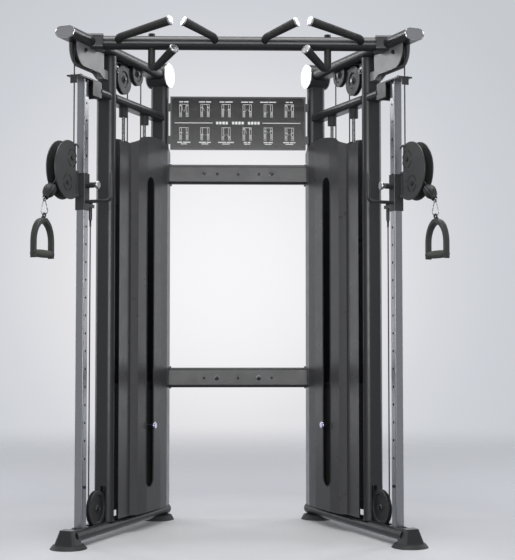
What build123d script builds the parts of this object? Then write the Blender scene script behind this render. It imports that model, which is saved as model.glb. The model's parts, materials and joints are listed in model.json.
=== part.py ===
from build123d import *
from math import atan2, cos, degrees, hypot, radians, sin, sqrt
import os

# Cable crossover machine: two weight-stack towers, turned inwards, joined by a pull-up bar,
# two crossbeams and a chart board. Millimetres, +Z up, X across the front, +Y to the back.
# The origin is the centre of the bounding box, on the floor. Everything on a tower is drawn
# for the left-hand tower and mirrored about the YZ plane.
#
# Each tower has its own coordinates: s runs backwards from the carriage rail along the tower,
# t runs sideways from the tower's mid plane towards the user, and z is up.

# --- where the towers stand -------------------------------------------------------------
TOWER_ANGLE = 21.7            # how far each tower is turned from straight back
RAIL_X = 675.0                # carriage rail from the machine's centre plane
RAIL_Y = -229.84              # carriage rail from the bounding box's centre
HEIGHT_BASE = 72.0            # top of the base tube

# --- tube sections ----------------------------------------------------------------------
TUBE_WIDE = 90.0              # flat-oval frame tube, long side across the tower
TUBE_THIN = 50.0
WALL = 2.5
RAIL_SIDE = 38.0              # square carriage rail
BAR_RADIUS = 30.0             # pull-up bar
BEAM_HEIGHT = 95.0            # crossbeams between the rear uprights
BEAM_DEPTH = 50.0

# --- tower layout along s ---------------------------------------------------------------
FRONT_UPRIGHT = 220.0
REAR_UPRIGHT = 790.0
TOP_TUBE_FRONT = -158.0
STACK_S = 501.5               # centre of the weight stack
ROD_SPREAD = 111.0            # guide rod from the stack's centre

# --- heights ----------------------------------------------------------------------------
TOP_TUBE_Z = 2156.0
MID_RAIL_Z = 1950.0
MID_RAIL_THICK = 40.0
MID_RAIL_WIDE = 80.0
PLATE_TOP_Z = 1991.0          # plate over the head of the carriage rail
BASE_THIN = 50.0

# --- cable and pulleys: (s, z), outer radius, groove radius at the cable's centre ---------
CABLE_RADIUS = 2.5
PLANE_A = -6.0                # cable plane of the run from the handle to the stack
PLANE_B = 6.0                 # cable plane of the run from the stack back to the carriage
SHEAVE_WIDTH = 20.0
AXLE_RADIUS = 5.0
RUNNING_CLEARANCE = 0.05
FRONT_PULLEY = (-17.0, 2108.0, 56.0, 50.0)
MID_PULLEY = (395.0, 2064.0, 69.5, 48.0)
REAR_PULLEY = (512.0, 2112.0, 56.0, 48.0)
UPRIGHT_PULLEY = (240.5, 2075.0, 40.0, 35.5)
BASE_PULLEY = (133.75, 135.0, 78.0, 71.25)
UPPER_SWIVEL_PULLEY = (-118.5, 1629.0, 56.0, 51.5)
LOWER_SWIVEL_PULLEY = (-157.0, 1522.0, 52.0, 47.5)
STACK_PULLEY_Z = 790.0
ANCHOR_S = 62.5               # cable that pulls down on the carriage

# --- carriage ---------------------------------------------------------------------------
SWIVEL_S = -67.0
SLEEVE_OUTER = 47.0
SLEEVE_INNER = 39.0
SLEEVE_LOW = 1420.0
SLEEVE_HIGH = 1578.0
PIN_Z = 1527.0
HOLE_TOP_Z = 1882.0
HOLE_PITCH = 76.0
HOLE_COUNT = 21
HOLE_RADIUS = 5.5

# --- weight stack -----------------------------------------------------------------------
PLATE_LENGTH = 280.0
PLATE_DEPTH = 98.0
PLATE_THICK = 25.0
STACK_LOW = 135.0
PLATES_BELOW_PIN = 13
PLATES_LIFTED = 7
HEAD_THICK = 30.0
ROD_RADIUS = 8.0
STEM_RADIUS = 10.0

# --- covers -----------------------------------------------------------------------------
SHEET = 2.0
COVER_LOW = 78.0

# --- between the towers -----------------------------------------------------------------
BAR_Y = RAIL_Y + 50.0
BAR_Z = 2158.0
BEAM_FRONT_Y = RAIL_Y + 690.0
UPPER_BEAM_Z = 1670.0
LOWER_BEAM_Z = 682.5
SIGN_LOW = 1791.0
SIGN_HIGH = 2049.0
SIGN_HALF = 330.0
SIGN_DEPTH = 30.0

os.makedirs("parts", exist_ok=True)

# Directions of the left tower, as unit vectors.
BACK = Vector(sin(radians(TOWER_ANGLE)), cos(radians(TOWER_ANGLE)), 0)
INWARD = Vector(cos(radians(TOWER_ANGLE)), -sin(radians(TOWER_ANGLE)), 0)
UP = Vector(0, 0, 1)


def spot(s, t=0.0, z=0.0):
    """The point of the left tower at s, t, z."""
    return Vector(-RAIL_X, RAIL_Y, 0) + BACK * s + INWARD * t + UP * z


def side_plane(t=0.0):
    """Sketch in (s, z); extrudes towards the user."""
    return Plane(origin=spot(0, t), x_dir=BACK, z_dir=INWARD)


def front_plane(s=0.0):
    """Sketch in (t, z); extrudes forwards."""
    return Plane(origin=spot(s), x_dir=INWARD, z_dir=BACK * -1)


def level(z=0.0):
    """Sketch in (t, s); extrudes upwards."""
    return Plane(origin=spot(0, 0, z), x_dir=INWARD, z_dir=UP)


def save(part, name):
    """Write one node."""
    part.label = name
    export_step(part, f"parts/{name}.step")


def save_both(part, name):
    """Write a left-hand node and its mirror image as a right-hand node."""
    save(part, f"{name}_left")
    with BuildPart() as other:
        mirror(part, about=Plane.YZ)
    save(other.part, f"{name}_right")


def flat_oval(wide, thin, wall):
    """A flat-oval tube section, in the open sketch."""
    SlotOverall(wide, thin)
    SlotOverall(wide - 2 * wall, thin - 2 * wall, mode=Mode.SUBTRACT)


def box_at(s0, s1, t0, t1, z0, z1, mode=Mode.ADD):
    """A box given by its limits in tower coordinates, in the open part."""
    with BuildSketch(level(z0)) as outline:
        with Locations(((t0 + t1) / 2, (s0 + s1) / 2)):
            Rectangle(t1 - t0, s1 - s0)
    extrude(outline.sketch, amount=z1 - z0, mode=mode)


def pin_at(s, z, radius, t0, t1, mode=Mode.ADD):
    """A round pin or hole across the tower, in the open part."""
    with BuildSketch(side_plane(t0)) as outline:
        with Locations((s, z)):
            Circle(radius)
    extrude(outline.sketch, amount=t1 - t0, mode=mode)


def post_at(s, t, radius, z0, z1, mode=Mode.ADD):
    """An upright pin or hole, in the open part."""
    with BuildSketch(level(z0)) as outline:
        with Locations((t, s)):
            Circle(radius)
    extrude(outline.sketch, amount=z1 - z0, mode=mode)


def sheave(centre, inward, outer, groove, width=SHEAVE_WIDTH):
    """A grooved pulley on an axle bore, as a part of its own."""
    across = Plane(origin=centre, x_dir=inward, z_dir=UP)
    half = width / 2
    floor = groove - CABLE_RADIUS - 0.3
    bore = AXLE_RADIUS + RUNNING_CLEARANCE
    with BuildPart() as wheel:
        with BuildSketch(across):
            with BuildLine():
                Polyline(
                    (-half, bore), (half, bore), (half, 14), (half - 5, 17), (half - 5, floor - 12),
                    (half, floor - 7), (half, outer - 1), (half - 1, outer), (CABLE_RADIUS + 2.2, outer),
                    (CABLE_RADIUS + 0.3, floor + CABLE_RADIUS),
                )
                ThreePointArc(
                    (CABLE_RADIUS + 0.3, floor + CABLE_RADIUS), (0, floor),
                    (-CABLE_RADIUS - 0.3, floor + CABLE_RADIUS),
                )
                Polyline(
                    (-CABLE_RADIUS - 0.3, floor + CABLE_RADIUS), (-CABLE_RADIUS - 2.2, outer),
                    (1 - half, outer), (-half, outer - 1), (-half, floor - 7), (5 - half, floor - 12),
                    (5 - half, 17), (-half, 14), (-half, bore),
                )
            make_face()
        revolve(axis=Axis(centre, inward))
    return wheel.part


def tangent(first, second, first_side, second_side):
    """Where a straight cable leaves one pulley and meets the next, both as (s, z) points.

    first_side and second_side are +1 where the cable passes over, on the left of its travel
    from first to second, and -1 where it passes under.
    """
    ds, dz = second[0] - first[0], second[1] - first[1]
    span = hypot(ds, dz)
    r1, r2 = first[3] * first_side, second[3] * second_side
    along = (r2 - r1) / span
    across = sqrt(1 - along * along)
    ns = -along * ds / span - across * dz / span
    nz = -along * dz / span + across * ds / span
    leave = (first[0] + ns * r1, first[1] + nz * r1)
    meet = (second[0] + ns * r2, second[1] + nz * r2)
    return leave, meet


def on_wheel(wheel, angle):
    """The point of a pulley's groove circle at an angle, measured from +s towards +z."""
    s, z, _, groove = wheel
    return (s + groove * cos(radians(angle)), z + groove * sin(radians(angle)))


def angle_of(wheel, point):
    """The angle of a point about a pulley's centre, measured from +s towards +z."""
    return degrees(atan2(point[1] - wheel[1], point[0] - wheel[0]))


# --- frame -------------------------------------------------------------------------------
BASE_FRONT = -95.0
BASE_REAR = 835.0

with BuildPart() as base_tubes:
    with BuildSketch(front_plane(BASE_REAR)):
        with Locations((0, HEIGHT_BASE - BASE_THIN / 2)):
            flat_oval(TUBE_WIDE, BASE_THIN, WALL)
    extrude(amount=BASE_REAR - BASE_FRONT)
    # Slot for the lower pulley.
    box_at(48, 219, PLANE_B - 13, PLANE_B + 13, HEIGHT_BASE - 8, HEIGHT_BASE + 1, mode=Mode.SUBTRACT)
    # Tapered block that closes the front end and stands on the foot.
    with BuildSketch(level(16)):
        with Locations((0, -104)):
            RectangleRounded(96, 78, 8)
    with BuildSketch(level(77)):
        with Locations((0, -104)):
            RectangleRounded(58, 46, 6)
    loft()
    # Rear end plate.
    with BuildSketch(front_plane(BASE_REAR)):
        with Locations((0, HEIGHT_BASE - BASE_THIN / 2)):
            SlotOverall(TUBE_WIDE, BASE_THIN)
    extrude(amount=-3)
    mirror(about=Plane.YZ)
save(base_tubes.part, "base_tubes")

with BuildPart() as foot_pads:
    for s, top in ((-100, 16.0), (784, 22.0)):
        with BuildSketch(level(0)):
            with Locations((0, s)):
                Circle(78)
        with BuildSketch(level(top)):
            with Locations((0, s)):
                Circle(66)
        loft()
    mirror(about=Plane.YZ)
save(foot_pads.part, "foot_pads")

UPRIGHT_TOP = TOP_TUBE_Z - TUBE_THIN / 2
HOUSING_RADIUS = 59.0

with BuildPart() as uprights:
    for s in (FRONT_UPRIGHT, REAR_UPRIGHT):
        with BuildSketch(level(HEIGHT_BASE)):
            with Locations((0, s)):
                flat_oval(TUBE_WIDE, TUBE_THIN, WALL)
        extrude(amount=UPRIGHT_TOP - HEIGHT_BASE)
    # The rear upright is coped to the round housing above it.
    pin_at(REAR_UPRIGHT, TOP_TUBE_Z, HOUSING_RADIUS, -60, 60, mode=Mode.SUBTRACT)
    # Openings in the front upright: the lower pulley's rim, and the upper pulley and cables.
    front_face = FRONT_UPRIGHT - TUBE_THIN / 2
    rear_face = FRONT_UPRIGHT + TUBE_THIN / 2
    box_at(front_face - 1, front_face + 6, PLANE_B - 13, PLANE_B + 13, HEIGHT_BASE, 225, mode=Mode.SUBTRACT)
    box_at(rear_face - 6, rear_face + 1, -16.5, 20, 2025, UPRIGHT_TOP, mode=Mode.SUBTRACT)
    pin_at(UPRIGHT_PULLEY[0], UPRIGHT_PULLEY[1], AXLE_RADIUS, -50, 50, mode=Mode.SUBTRACT)
    mirror(about=Plane.YZ)
save(uprights.part, "uprights")

with BuildPart() as top_tubes:
    with BuildSketch(front_plane(REAR_UPRIGHT)):
        with Locations((0, TOP_TUBE_Z)):
            flat_oval(TUBE_WIDE, TUBE_THIN, WALL)
    extrude(amount=REAR_UPRIGHT - TOP_TUBE_FRONT)
    # Underside slot that the pulleys and the cable reach up through.
    box_at(-80, 578, -16.5, 16.5, UPRIGHT_TOP - 1, UPRIGHT_TOP + 8, mode=Mode.SUBTRACT)
    # Short round housing across the rear end.
    pin_at(REAR_UPRIGHT, TOP_TUBE_Z, HOUSING_RADIUS, -48, 48)
    pin_at(REAR_UPRIGHT, TOP_TUBE_Z, HOUSING_RADIUS - 3, -50, 50, mode=Mode.SUBTRACT)
    mirror(about=Plane.YZ)
save(top_tubes.part, "top_tubes")

with BuildPart() as end_caps:
    with BuildSketch(front_plane(TOP_TUBE_FRONT)):
        with Locations((0, TOP_TUBE_Z)):
            SlotOverall(TUBE_WIDE, TUBE_THIN)
    extrude(amount=5)
    for t0, t1 in ((-53, -48), (48, 53)):
        pin_at(REAR_UPRIGHT, TOP_TUBE_Z, HOUSING_RADIUS, t0, t1)
    mirror(about=Plane.YZ)
save(end_caps.part, "end_caps")

BOX_FRONT = 26.0
BOX_REAR = 105.0

with BuildPart() as mid_rails:
    for s0, s1 in ((BOX_REAR, FRONT_UPRIGHT - TUBE_THIN / 2), (FRONT_UPRIGHT + TUBE_THIN / 2, REAR_UPRIGHT - TUBE_THIN / 2)):
        with BuildSketch(front_plane(s1)):
            with Locations((0, MID_RAIL_Z)):
                flat_oval(MID_RAIL_WIDE, MID_RAIL_THICK, WALL)
        extrude(amount=s1 - s0)
    for s, t in ((MID_PULLEY[0] + MID_PULLEY[3], PLANE_A), (REAR_PULLEY[0] + REAR_PULLEY[3], PLANE_B)):
        post_at(s, t, 8, MID_RAIL_Z - 30, MID_RAIL_Z + 30, mode=Mode.SUBTRACT)
    mirror(about=Plane.YZ)
save(mid_rails.part, "mid_rails")

# Side plates that carry the pulley above the carriage rail, and hangers of the other pulleys.
GUSSET_INNER = 16.5
GUSSET_THICK = 3.0
HANGER_T = -24.0

with BuildPart() as pulley_plates:
    for t0 in (GUSSET_INNER, -GUSSET_INNER - GUSSET_THICK):
        with BuildSketch(side_plane(t0)):
            with BuildLine():
                Line((157, UPRIGHT_TOP), (-92, UPRIGHT_TOP))
                Line((-92, UPRIGHT_TOP), (-90, 2100))
                ThreePointArc((-90, 2100), (-72, 2060), (-34, 2037))
                Line((-34, 2037), (120, 2037))
                Line((120, 2037), (157, 2020))
                Line((157, 2020), (157, UPRIGHT_TOP))
            make_face()
            with Locations(FRONT_PULLEY[:2]):
                Circle(AXLE_RADIUS, mode=Mode.SUBTRACT)
        extrude(amount=GUSSET_THICK)
    # Web that ties the two plates to the front upright, under the cable.
    box_at(157, FRONT_UPRIGHT - TUBE_THIN / 2, -GUSSET_INNER - 3, GUSSET_INNER + 3, 2020, 2060)
    # Hangers of the two pulleys behind the front upright, on the tower's outer side.
    for wheel in (MID_PULLEY, REAR_PULLEY):
        s, z = wheel[:2]
        with BuildSketch(side_plane(HANGER_T)):
            with BuildLine():
                Polyline((s - 18, z), (s - 24, UPRIGHT_TOP), (s + 24, UPRIGHT_TOP), (s + 18, z))
                ThreePointArc((s + 18, z), (s, z - 18), (s - 18, z))
            make_face()
            with Locations((s, z)):
                Circle(AXLE_RADIUS, mode=Mode.SUBTRACT)
        extrude(amount=5)
    # Bracket of the lower pulley, on the front upright.
    with BuildSketch(side_plane(-10)):
        with BuildLine():
            Polyline((195, 82), (150, 100), (118, 122))
            ThreePointArc((118, 122), (113, 140), (126, 152))
            Polyline((126, 152), (150, 168), (195, 195), (195, 82))
        make_face()
        with Locations(BASE_PULLEY[:2]):
            Circle(AXLE_RADIUS, mode=Mode.SUBTRACT)
    extrude(amount=4.5)
    mirror(about=Plane.YZ)
save(pulley_plates.part, "pulley_plates")


def axle(wheel, t_head, t_nut):
    """A plain axle with a round head at each end, in the open part."""
    s, z = wheel[:2]
    pin_at(s, z, AXLE_RADIUS, t_nut, t_head)
    pin_at(s, z, 9, t_head, t_head + 6)
    pin_at(s, z, 9, t_nut - 5, t_nut)


with BuildPart() as pulley_axles:
    axle(FRONT_PULLEY, GUSSET_INNER + GUSSET_THICK, -GUSSET_INNER - GUSSET_THICK)
    axle(MID_PULLEY, PLANE_A + SHEAVE_WIDTH / 2 + 0.5, HANGER_T)
    axle(REAR_PULLEY, PLANE_B + SHEAVE_WIDTH / 2 + 0.5, HANGER_T)
    axle(UPRIGHT_PULLEY, TUBE_WIDE / 2 + 0.5, -TUBE_WIDE / 2 - 0.5)
    axle(BASE_PULLEY, PLANE_B + SHEAVE_WIDTH / 2 + 0.5, -10)
    mirror(about=Plane.YZ)
save(pulley_axles.part, "pulley_axles")

# --- carriage rail -----------------------------------------------------------------------
RAIL_LOW = HEIGHT_BASE
RAIL_HIGH = 1985.0

with BuildPart() as carriage_rails:
    with BuildSketch(level(RAIL_LOW)):
        RectangleRounded(RAIL_SIDE, RAIL_SIDE, 3)
        RectangleRounded(RAIL_SIDE - 2 * WALL, RAIL_SIDE - 2 * WALL, 1, mode=Mode.SUBTRACT)
    extrude(amount=RAIL_HIGH - RAIL_LOW)
    with BuildSketch(side_plane(0)):
        with Locations([(0, HOLE_TOP_Z - n * HOLE_PITCH) for n in range(HOLE_COUNT)]):
            Circle(HOLE_RADIUS)
    extrude(amount=RAIL_SIDE, mode=Mode.SUBTRACT)
    mirror(about=Plane.YZ)
save(carriage_rails.part, "carriage_rails")

with BuildPart() as rail_brackets:
    # Plate over the rail's head, with a short front flap and a hole for the cable.
    box_at(-84, BOX_REAR, -33, 33, RAIL_HIGH, PLATE_TOP_Z)
    box_at(-84, -80, -16, 16, 1955, RAIL_HIGH)
    post_at(SWIVEL_S, PLANE_A, 8, RAIL_HIGH - 1, PLATE_TOP_Z + 1, mode=Mode.SUBTRACT)
    # Box between the rail and the stub of the mid rail.
    box_at(BOX_FRONT, BOX_REAR, -36, 36, 1920, RAIL_HIGH)
    box_at(BOX_FRONT - 1, BOX_REAR - 3, -33, 33, 1917, RAIL_HIGH - 3, mode=Mode.SUBTRACT)
    box_at(RAIL_SIDE / 2, BOX_FRONT, -12, 12, 1962, RAIL_HIGH)
    mirror(about=Plane.YZ)
save(rail_brackets.part, "rail_brackets")

with BuildPart() as frame_bolts:
    # Stop below the carriage and bolt of the head bracket, on the rail's inner side.
    for z, radius in ((243.0, 7.0), (1978.0, 6.0)):
        with BuildSketch(side_plane(RAIL_SIDE / 2)):
            with Locations((0, z)):
                RegularPolygon(radius, 6)
        extrude(amount=5)
    # Feet bolts on the base tube, beside the rail and behind the rear upright.
    for s in (-55.0, 823.0):
        with BuildSketch(level(HEIGHT_BASE)):
            with Locations((0, s)):
                RegularPolygon(9, 6)
        extrude(amount=6)
    mirror(about=Plane.YZ)
save(frame_bolts.part, "frame_bolts")

# --- pull-up bar and handles ---------------------------------------------------------------
SADDLE_X = 592.0

with BuildPart() as top_crossbar:
    bar_end = Plane(origin=(-RAIL_X, BAR_Y, BAR_Z), x_dir=(0, 1, 0), z_dir=(1, 0, 0))
    with BuildSketch(bar_end):
        Circle(BAR_RADIUS)
    extrude(amount=RAIL_X)
    # Saddle: a collar that spreads the bar's end over the top tube.
    with BuildSketch(bar_end):
        RectangleRounded(84, 68, 14)
    extrude(amount=RAIL_X - SADDLE_X)
    with BuildSketch(bar_end):
        Circle(BAR_RADIUS - 3)
    extrude(amount=RAIL_X, mode=Mode.SUBTRACT)
    # The end is coped to the top tube's inner side.
    with BuildSketch(front_plane(400)):
        with Locations((0, TOP_TUBE_Z)):
            SlotOverall(TUBE_WIDE, TUBE_THIN)
            Rectangle(400, 400, align=(Align.MAX, Align.CENTER))
        # Room for the pulley and its plates under the tube.
        with Locations((GUSSET_INNER + GUSSET_THICK + 2, TOP_TUBE_Z)):
            Rectangle(400, 80, align=(Align.MAX, Align.MAX))
    extrude(amount=800, mode=Mode.SUBTRACT)
    # Through hole of the hanging hook.
    with BuildSketch(Plane.XY.offset(BAR_Z - 40)):
        with Locations((-384, BAR_Y)):
            Circle(10)
    extrude(amount=80, mode=Mode.SUBTRACT)
    mirror(about=Plane.YZ)
save(top_crossbar.part, "top_crossbar")

HANDLE_RADIUS = 14.0
HOOK_RADIUS = 9.5
GRIP_RADIUS = 19.0
GRIP_LENGTHS = {"outer": 150.0, "inner": 92.0, "hook": 62.0}

# Corners of each left-hand handle: from the bar, through its elbow, to the grip's tip.
handle_routes = {
    "outer": ((-522, 50, 2158), (-526, -4, 2168), (-302, -118, 2214)),
    "inner": ((-112, 50, 2158), (-108, 2, 2172), (-236, -62, 2224)),
    "hook": ((-384, 50, 2192), (-384, 50, 2052), (-362, 22, 2046), (-284, -68, 2104)),
}


def handle_points(route):
    return [Vector(x, RAIL_Y + y, z) for x, y, z in route]


def grip_frame(route):
    """The tip of a handle, and the direction from the tip back along its grip."""
    points = handle_points(route)
    return points[-1], (points[-2] - points[-1]).normalized()


with BuildPart() as pull_up_handles:
    for name, route in handle_routes.items():
        points = handle_points(route)
        with BuildLine() as path:
            FilletPolyline(*points, radius=14 if name == "hook" else 24)
        with BuildSketch(Plane(origin=points[0], z_dir=points[1] - points[0])):
            Circle(HOOK_RADIUS if name == "hook" else HANDLE_RADIUS)
        sweep(path=path.line)
        if name != "hook":
            # The tube ends on the bar's surface.
            with BuildSketch(Plane(origin=(-700, BAR_Y, BAR_Z), x_dir=(0, 1, 0), z_dir=(1, 0, 0))):
                Circle(BAR_RADIUS)
            extrude(amount=700, mode=Mode.SUBTRACT)
    # Nuts above and below the bar.
    for z, radius, tall in ((BAR_Z + BAR_RADIUS, 15, 10), (BAR_Z - BAR_RADIUS - 8, 16, 8)):
        with BuildSketch(Plane.XY.offset(z)):
            with Locations((-384, BAR_Y)):
                RegularPolygon(radius, 6)
        extrude(amount=tall)
    mirror(about=Plane.YZ)
save(pull_up_handles.part, "pull_up_handles")

with BuildPart() as pull_up_grips:
    for name, route in handle_routes.items():
        tip, inward = grip_frame(route)
        with BuildSketch(Plane(origin=tip, z_dir=inward)):
            Circle(GRIP_RADIUS)
            Circle(HOOK_RADIUS if name == "hook" else HANDLE_RADIUS, mode=Mode.SUBTRACT)
        extrude(amount=GRIP_LENGTHS[name])
    mirror(about=Plane.YZ)
save(pull_up_grips.part, "pull_up_grips")

with BuildPart() as grip_caps:
    for route in handle_routes.values():
        tip, inward = grip_frame(route)
        with BuildSketch(Plane(origin=tip, z_dir=inward * -1)):
            Circle(GRIP_RADIUS + 2)
        extrude(amount=6)
    mirror(about=Plane.YZ)
save(grip_caps.part, "grip_caps")

# --- crossbeams and chart board --------------------------------------------------------------
FLANGE_T = 46.0               # inner side of the rear uprights, with a little weld room
FLANGE_THICK = 5.0
BOLT_SPOTS = (101.0, 163.0)

with BuildPart() as crossbeams:
    for z in (UPPER_BEAM_Z, LOWER_BEAM_Z):
        with BuildSketch(Plane(origin=(-400, BEAM_FRONT_Y, z), x_dir=(0, 1, 0), z_dir=(1, 0, 0))):
            with Locations((BEAM_DEPTH / 2, 0)):
                RectangleRounded(BEAM_DEPTH, BEAM_HEIGHT, 14)
                RectangleRounded(BEAM_DEPTH - 2 * WALL, BEAM_HEIGHT - 2 * WALL, 11.5, mode=Mode.SUBTRACT)
        extrude(amount=400)
    # The beams end at flanges that lie against the rear uprights.
    split(bisect_by=side_plane(FLANGE_T + FLANGE_THICK), keep=Keep.TOP)
    for z in (UPPER_BEAM_Z, LOWER_BEAM_Z):
        with BuildSketch(side_plane(FLANGE_T)):
            with Locations((REAR_UPRIGHT, z)):
                RectangleRounded(66, BEAM_HEIGHT + 14, 8)
        extrude(amount=FLANGE_THICK)
    mirror(about=Plane.YZ)
    for z, large in ((UPPER_BEAM_Z, 163.0), (LOWER_BEAM_Z, 101.0)):
        for x in (0.0, *BOLT_SPOTS):
            with BuildSketch(Plane(origin=(0, BEAM_FRONT_Y - 1, z), x_dir=(1, 0, 0), z_dir=(0, 1, 0))):
                with Locations(*{(-x, 0), (x, 0)}):
                    Circle(5.5 if x == large else 4.0)
            extrude(amount=WALL + 2, mode=Mode.SUBTRACT)
save(crossbeams.part, "crossbeams")

board_plane = Plane(origin=(0, BEAM_FRONT_Y - 4, 0), x_dir=(1, 0, 0), z_dir=(0, -1, 0))
board_middle = (SIGN_LOW + SIGN_HIGH) / 2
PANEL_INSET = 8.0
PANEL_DEEP = 5.0
TAB_REACH = 15.0
TAB_SPREAD = 80.0

with BuildPart() as sign_frame:
    with BuildSketch(board_plane):
        with Locations((0, board_middle)):
            Rectangle(2 * SIGN_HALF, SIGN_HIGH - SIGN_LOW)
    extrude(amount=-SIGN_DEPTH)
    with BuildSketch(board_plane):
        with Locations((0, board_middle)):
            RectangleRounded(2 * (SIGN_HALF - PANEL_INSET), SIGN_HIGH - SIGN_LOW - 2 * PANEL_INSET, 12)
    extrude(amount=-PANEL_DEEP, mode=Mode.SUBTRACT)
    # Folded sheet tray, open at the back.
    with BuildSketch(board_plane.offset(-SIGN_DEPTH)):
        with Locations((0, board_middle)):
            Rectangle(2 * (SIGN_HALF - SHEET), SIGN_HIGH - SIGN_LOW - 2 * SHEET)
    extrude(amount=SIGN_DEPTH - PANEL_DEEP - SHEET, mode=Mode.SUBTRACT)
    # Tabs that meet the round side of the rear uprights.
    for z in (board_middle - TAB_SPREAD, board_middle + TAB_SPREAD):
        with BuildSketch(board_plane.offset(-SIGN_DEPTH)):
            with Locations((-SIGN_HALF - TAB_REACH, z)):
                Rectangle(TAB_REACH + 1, 40, align=(Align.MIN, Align.CENTER))
        extrude(amount=6)
    post_at(REAR_UPRIGHT, (TUBE_WIDE - TUBE_THIN) / 2, TUBE_THIN / 2, SIGN_LOW, SIGN_HIGH, mode=Mode.SUBTRACT)
    mirror(about=Plane.YZ)
save(sign_frame.part, "sign_frame")

with BuildPart() as sign_panel:
    with BuildSketch(board_plane.offset(-PANEL_DEEP)):
        with Locations((0, board_middle)):
            RectangleRounded(
                2 * (SIGN_HALF - PANEL_INSET) - 1, SIGN_HIGH - SIGN_LOW - 2 * PANEL_INSET - 1, 11.5
            )
    extrude(amount=3)
save(sign_panel.part, "sign_panel")

# --- covers of the weight stacks --------------------------------------------------------------
def cover_outline(t_strip, t_panel, grow=0.0):
    """The cover's plan line in (t, s), from the front upright to the rear upright."""
    sign = 1 if t_panel > 0 else -1
    strip, panel = t_strip + sign * grow, t_panel + sign * grow
    return [
        (strip, 249.0 - grow), (strip, 364.0 - grow), (panel - sign * 4, 388.0 - grow),
        (panel + sign * 2, 470.0), (panel + sign * 2, 620.0), (panel - sign * 4, 700.0 + grow),
        (strip, 792.0 + grow),
    ]


STRIP_T = 53.0
PANEL_T = 84.0
SLOT_HALF = 38.0
SLOT_LOW = 192.0
SLOT_HIGH = 1622.0


def shroud(name, side, slotted):
    """A folded sheet cover beside the weight stack, with an arched top edge."""
    with BuildPart() as cover:
        with BuildSketch(level(COVER_LOW)):
            with BuildLine():
                inner = cover_outline(side * STRIP_T, side * PANEL_T)
                outer = cover_outline(side * STRIP_T, side * PANEL_T, SHEET)
                Polyline(*inner, *reversed(outer), close=True)
            make_face()
        extrude(amount=1850 - COVER_LOW)
        # Arched top edge.
        low, high = sorted((side * 40, side * 100))
        with BuildSketch(side_plane(low)):
            with BuildLine():
                Line((230, 1757), (330, 1757))
                ThreePointArc((330, 1757), (372, 1768), (410, 1793))
                ThreePointArc((410, 1793), (540, 1812), (810, 1768))
                Line((810, 1768), (810, 1900))
                Line((810, 1900), (230, 1900))
                Line((230, 1900), (230, 1757))
            make_face()
        extrude(amount=high - low, mode=Mode.SUBTRACT)
        if slotted:
            with BuildSketch(side_plane(low)):
                with Locations((STACK_S, (SLOT_LOW + SLOT_HIGH) / 2)):
                    SlotOverall(SLOT_HIGH - SLOT_LOW, 2 * SLOT_HALF, rotation=90)
            extrude(amount=high - low, mode=Mode.SUBTRACT)
            # Notches round the ends of the crossbeams.
            for z in (UPPER_BEAM_Z, LOWER_BEAM_Z):
                with BuildSketch(Plane(origin=(-RAIL_X, BEAM_FRONT_Y - 2, z), x_dir=(1, 0, 0), z_dir=(0, 1, 0))):
                    Rectangle(RAIL_X, BEAM_HEIGHT + 18, align=(Align.MIN, Align.CENTER))
                extrude(amount=BEAM_DEPTH + 100, mode=Mode.SUBTRACT)
        mirror(about=Plane.YZ)
    save(cover.part, name)


shroud("inner_shrouds", 1, True)
shroud("outer_shrouds", -1, False)

# --- guide rods and weights ---------------------------------------------------------------------
MID_RAIL_LOW = MID_RAIL_Z - MID_RAIL_THICK / 2

with BuildPart() as guide_rods:
    for s in (STACK_S - ROD_SPREAD, STACK_S + ROD_SPREAD):
        post_at(s, 0, ROD_RADIUS, HEIGHT_BASE, MID_RAIL_LOW)
    mirror(about=Plane.YZ)
save(guide_rods.part, "guide_rods")

with BuildPart() as rod_collars:
    for s in (STACK_S - ROD_SPREAD, STACK_S + ROD_SPREAD):
        # Clamp under the mid rail, and the rubber buffer that the stack rests on.
        post_at(s, 0, 21, MID_RAIL_LOW - 42, MID_RAIL_LOW)
        post_at(s, 0, 24, HEIGHT_BASE, STACK_LOW)
        post_at(s, 0, ROD_RADIUS, HEIGHT_BASE - 1, MID_RAIL_LOW + 1, mode=Mode.SUBTRACT)
    mirror(about=Plane.YZ)
save(rod_collars.part, "rod_collars")

PIN_PLATE_Z = STACK_LOW + (PLATES_BELOW_PIN + 0.5) * PLATE_THICK
LIFTED_LOW = STACK_LOW + PLATES_BELOW_PIN * PLATE_THICK
LIFTED_HIGH = LIFTED_LOW + PLATES_LIFTED * PLATE_THICK
HEAD_HIGH = LIFTED_HIGH + HEAD_THICK
PIN_RADIUS = 4.0


def weight_plates(first, count):
    """Cast plates with rod and stem holes and a cross hole for the selector pin."""
    for n in range(first, first + count):
        low = STACK_LOW + n * PLATE_THICK
        with BuildSketch(level(low)) as outline:
            with Locations((0, STACK_S)):
                RectangleRounded(PLATE_DEPTH, PLATE_LENGTH, 12)
                Circle(STEM_RADIUS + 2, mode=Mode.SUBTRACT)
            with Locations((0, STACK_S - ROD_SPREAD), (0, STACK_S + ROD_SPREAD)):
                Circle(ROD_RADIUS + 1.5, mode=Mode.SUBTRACT)
        extrude(outline.sketch, amount=PLATE_THICK - 0.4)
        middle = low + (PLATE_THICK - 0.4) / 2
        pin_at(STACK_S, middle, PIN_RADIUS + RUNNING_CLEARANCE, 0, PLATE_DEPTH, mode=Mode.SUBTRACT)


with BuildPart() as lower_weight_plates:
    weight_plates(0, PLATES_BELOW_PIN)
    mirror(about=Plane.YZ)
save(lower_weight_plates.part, "lower_weight_plates")

with BuildPart() as upper_weight_plates:
    weight_plates(PLATES_BELOW_PIN, PLATES_LIFTED)
save_both(upper_weight_plates.part, "upper_weight_plates")

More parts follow.
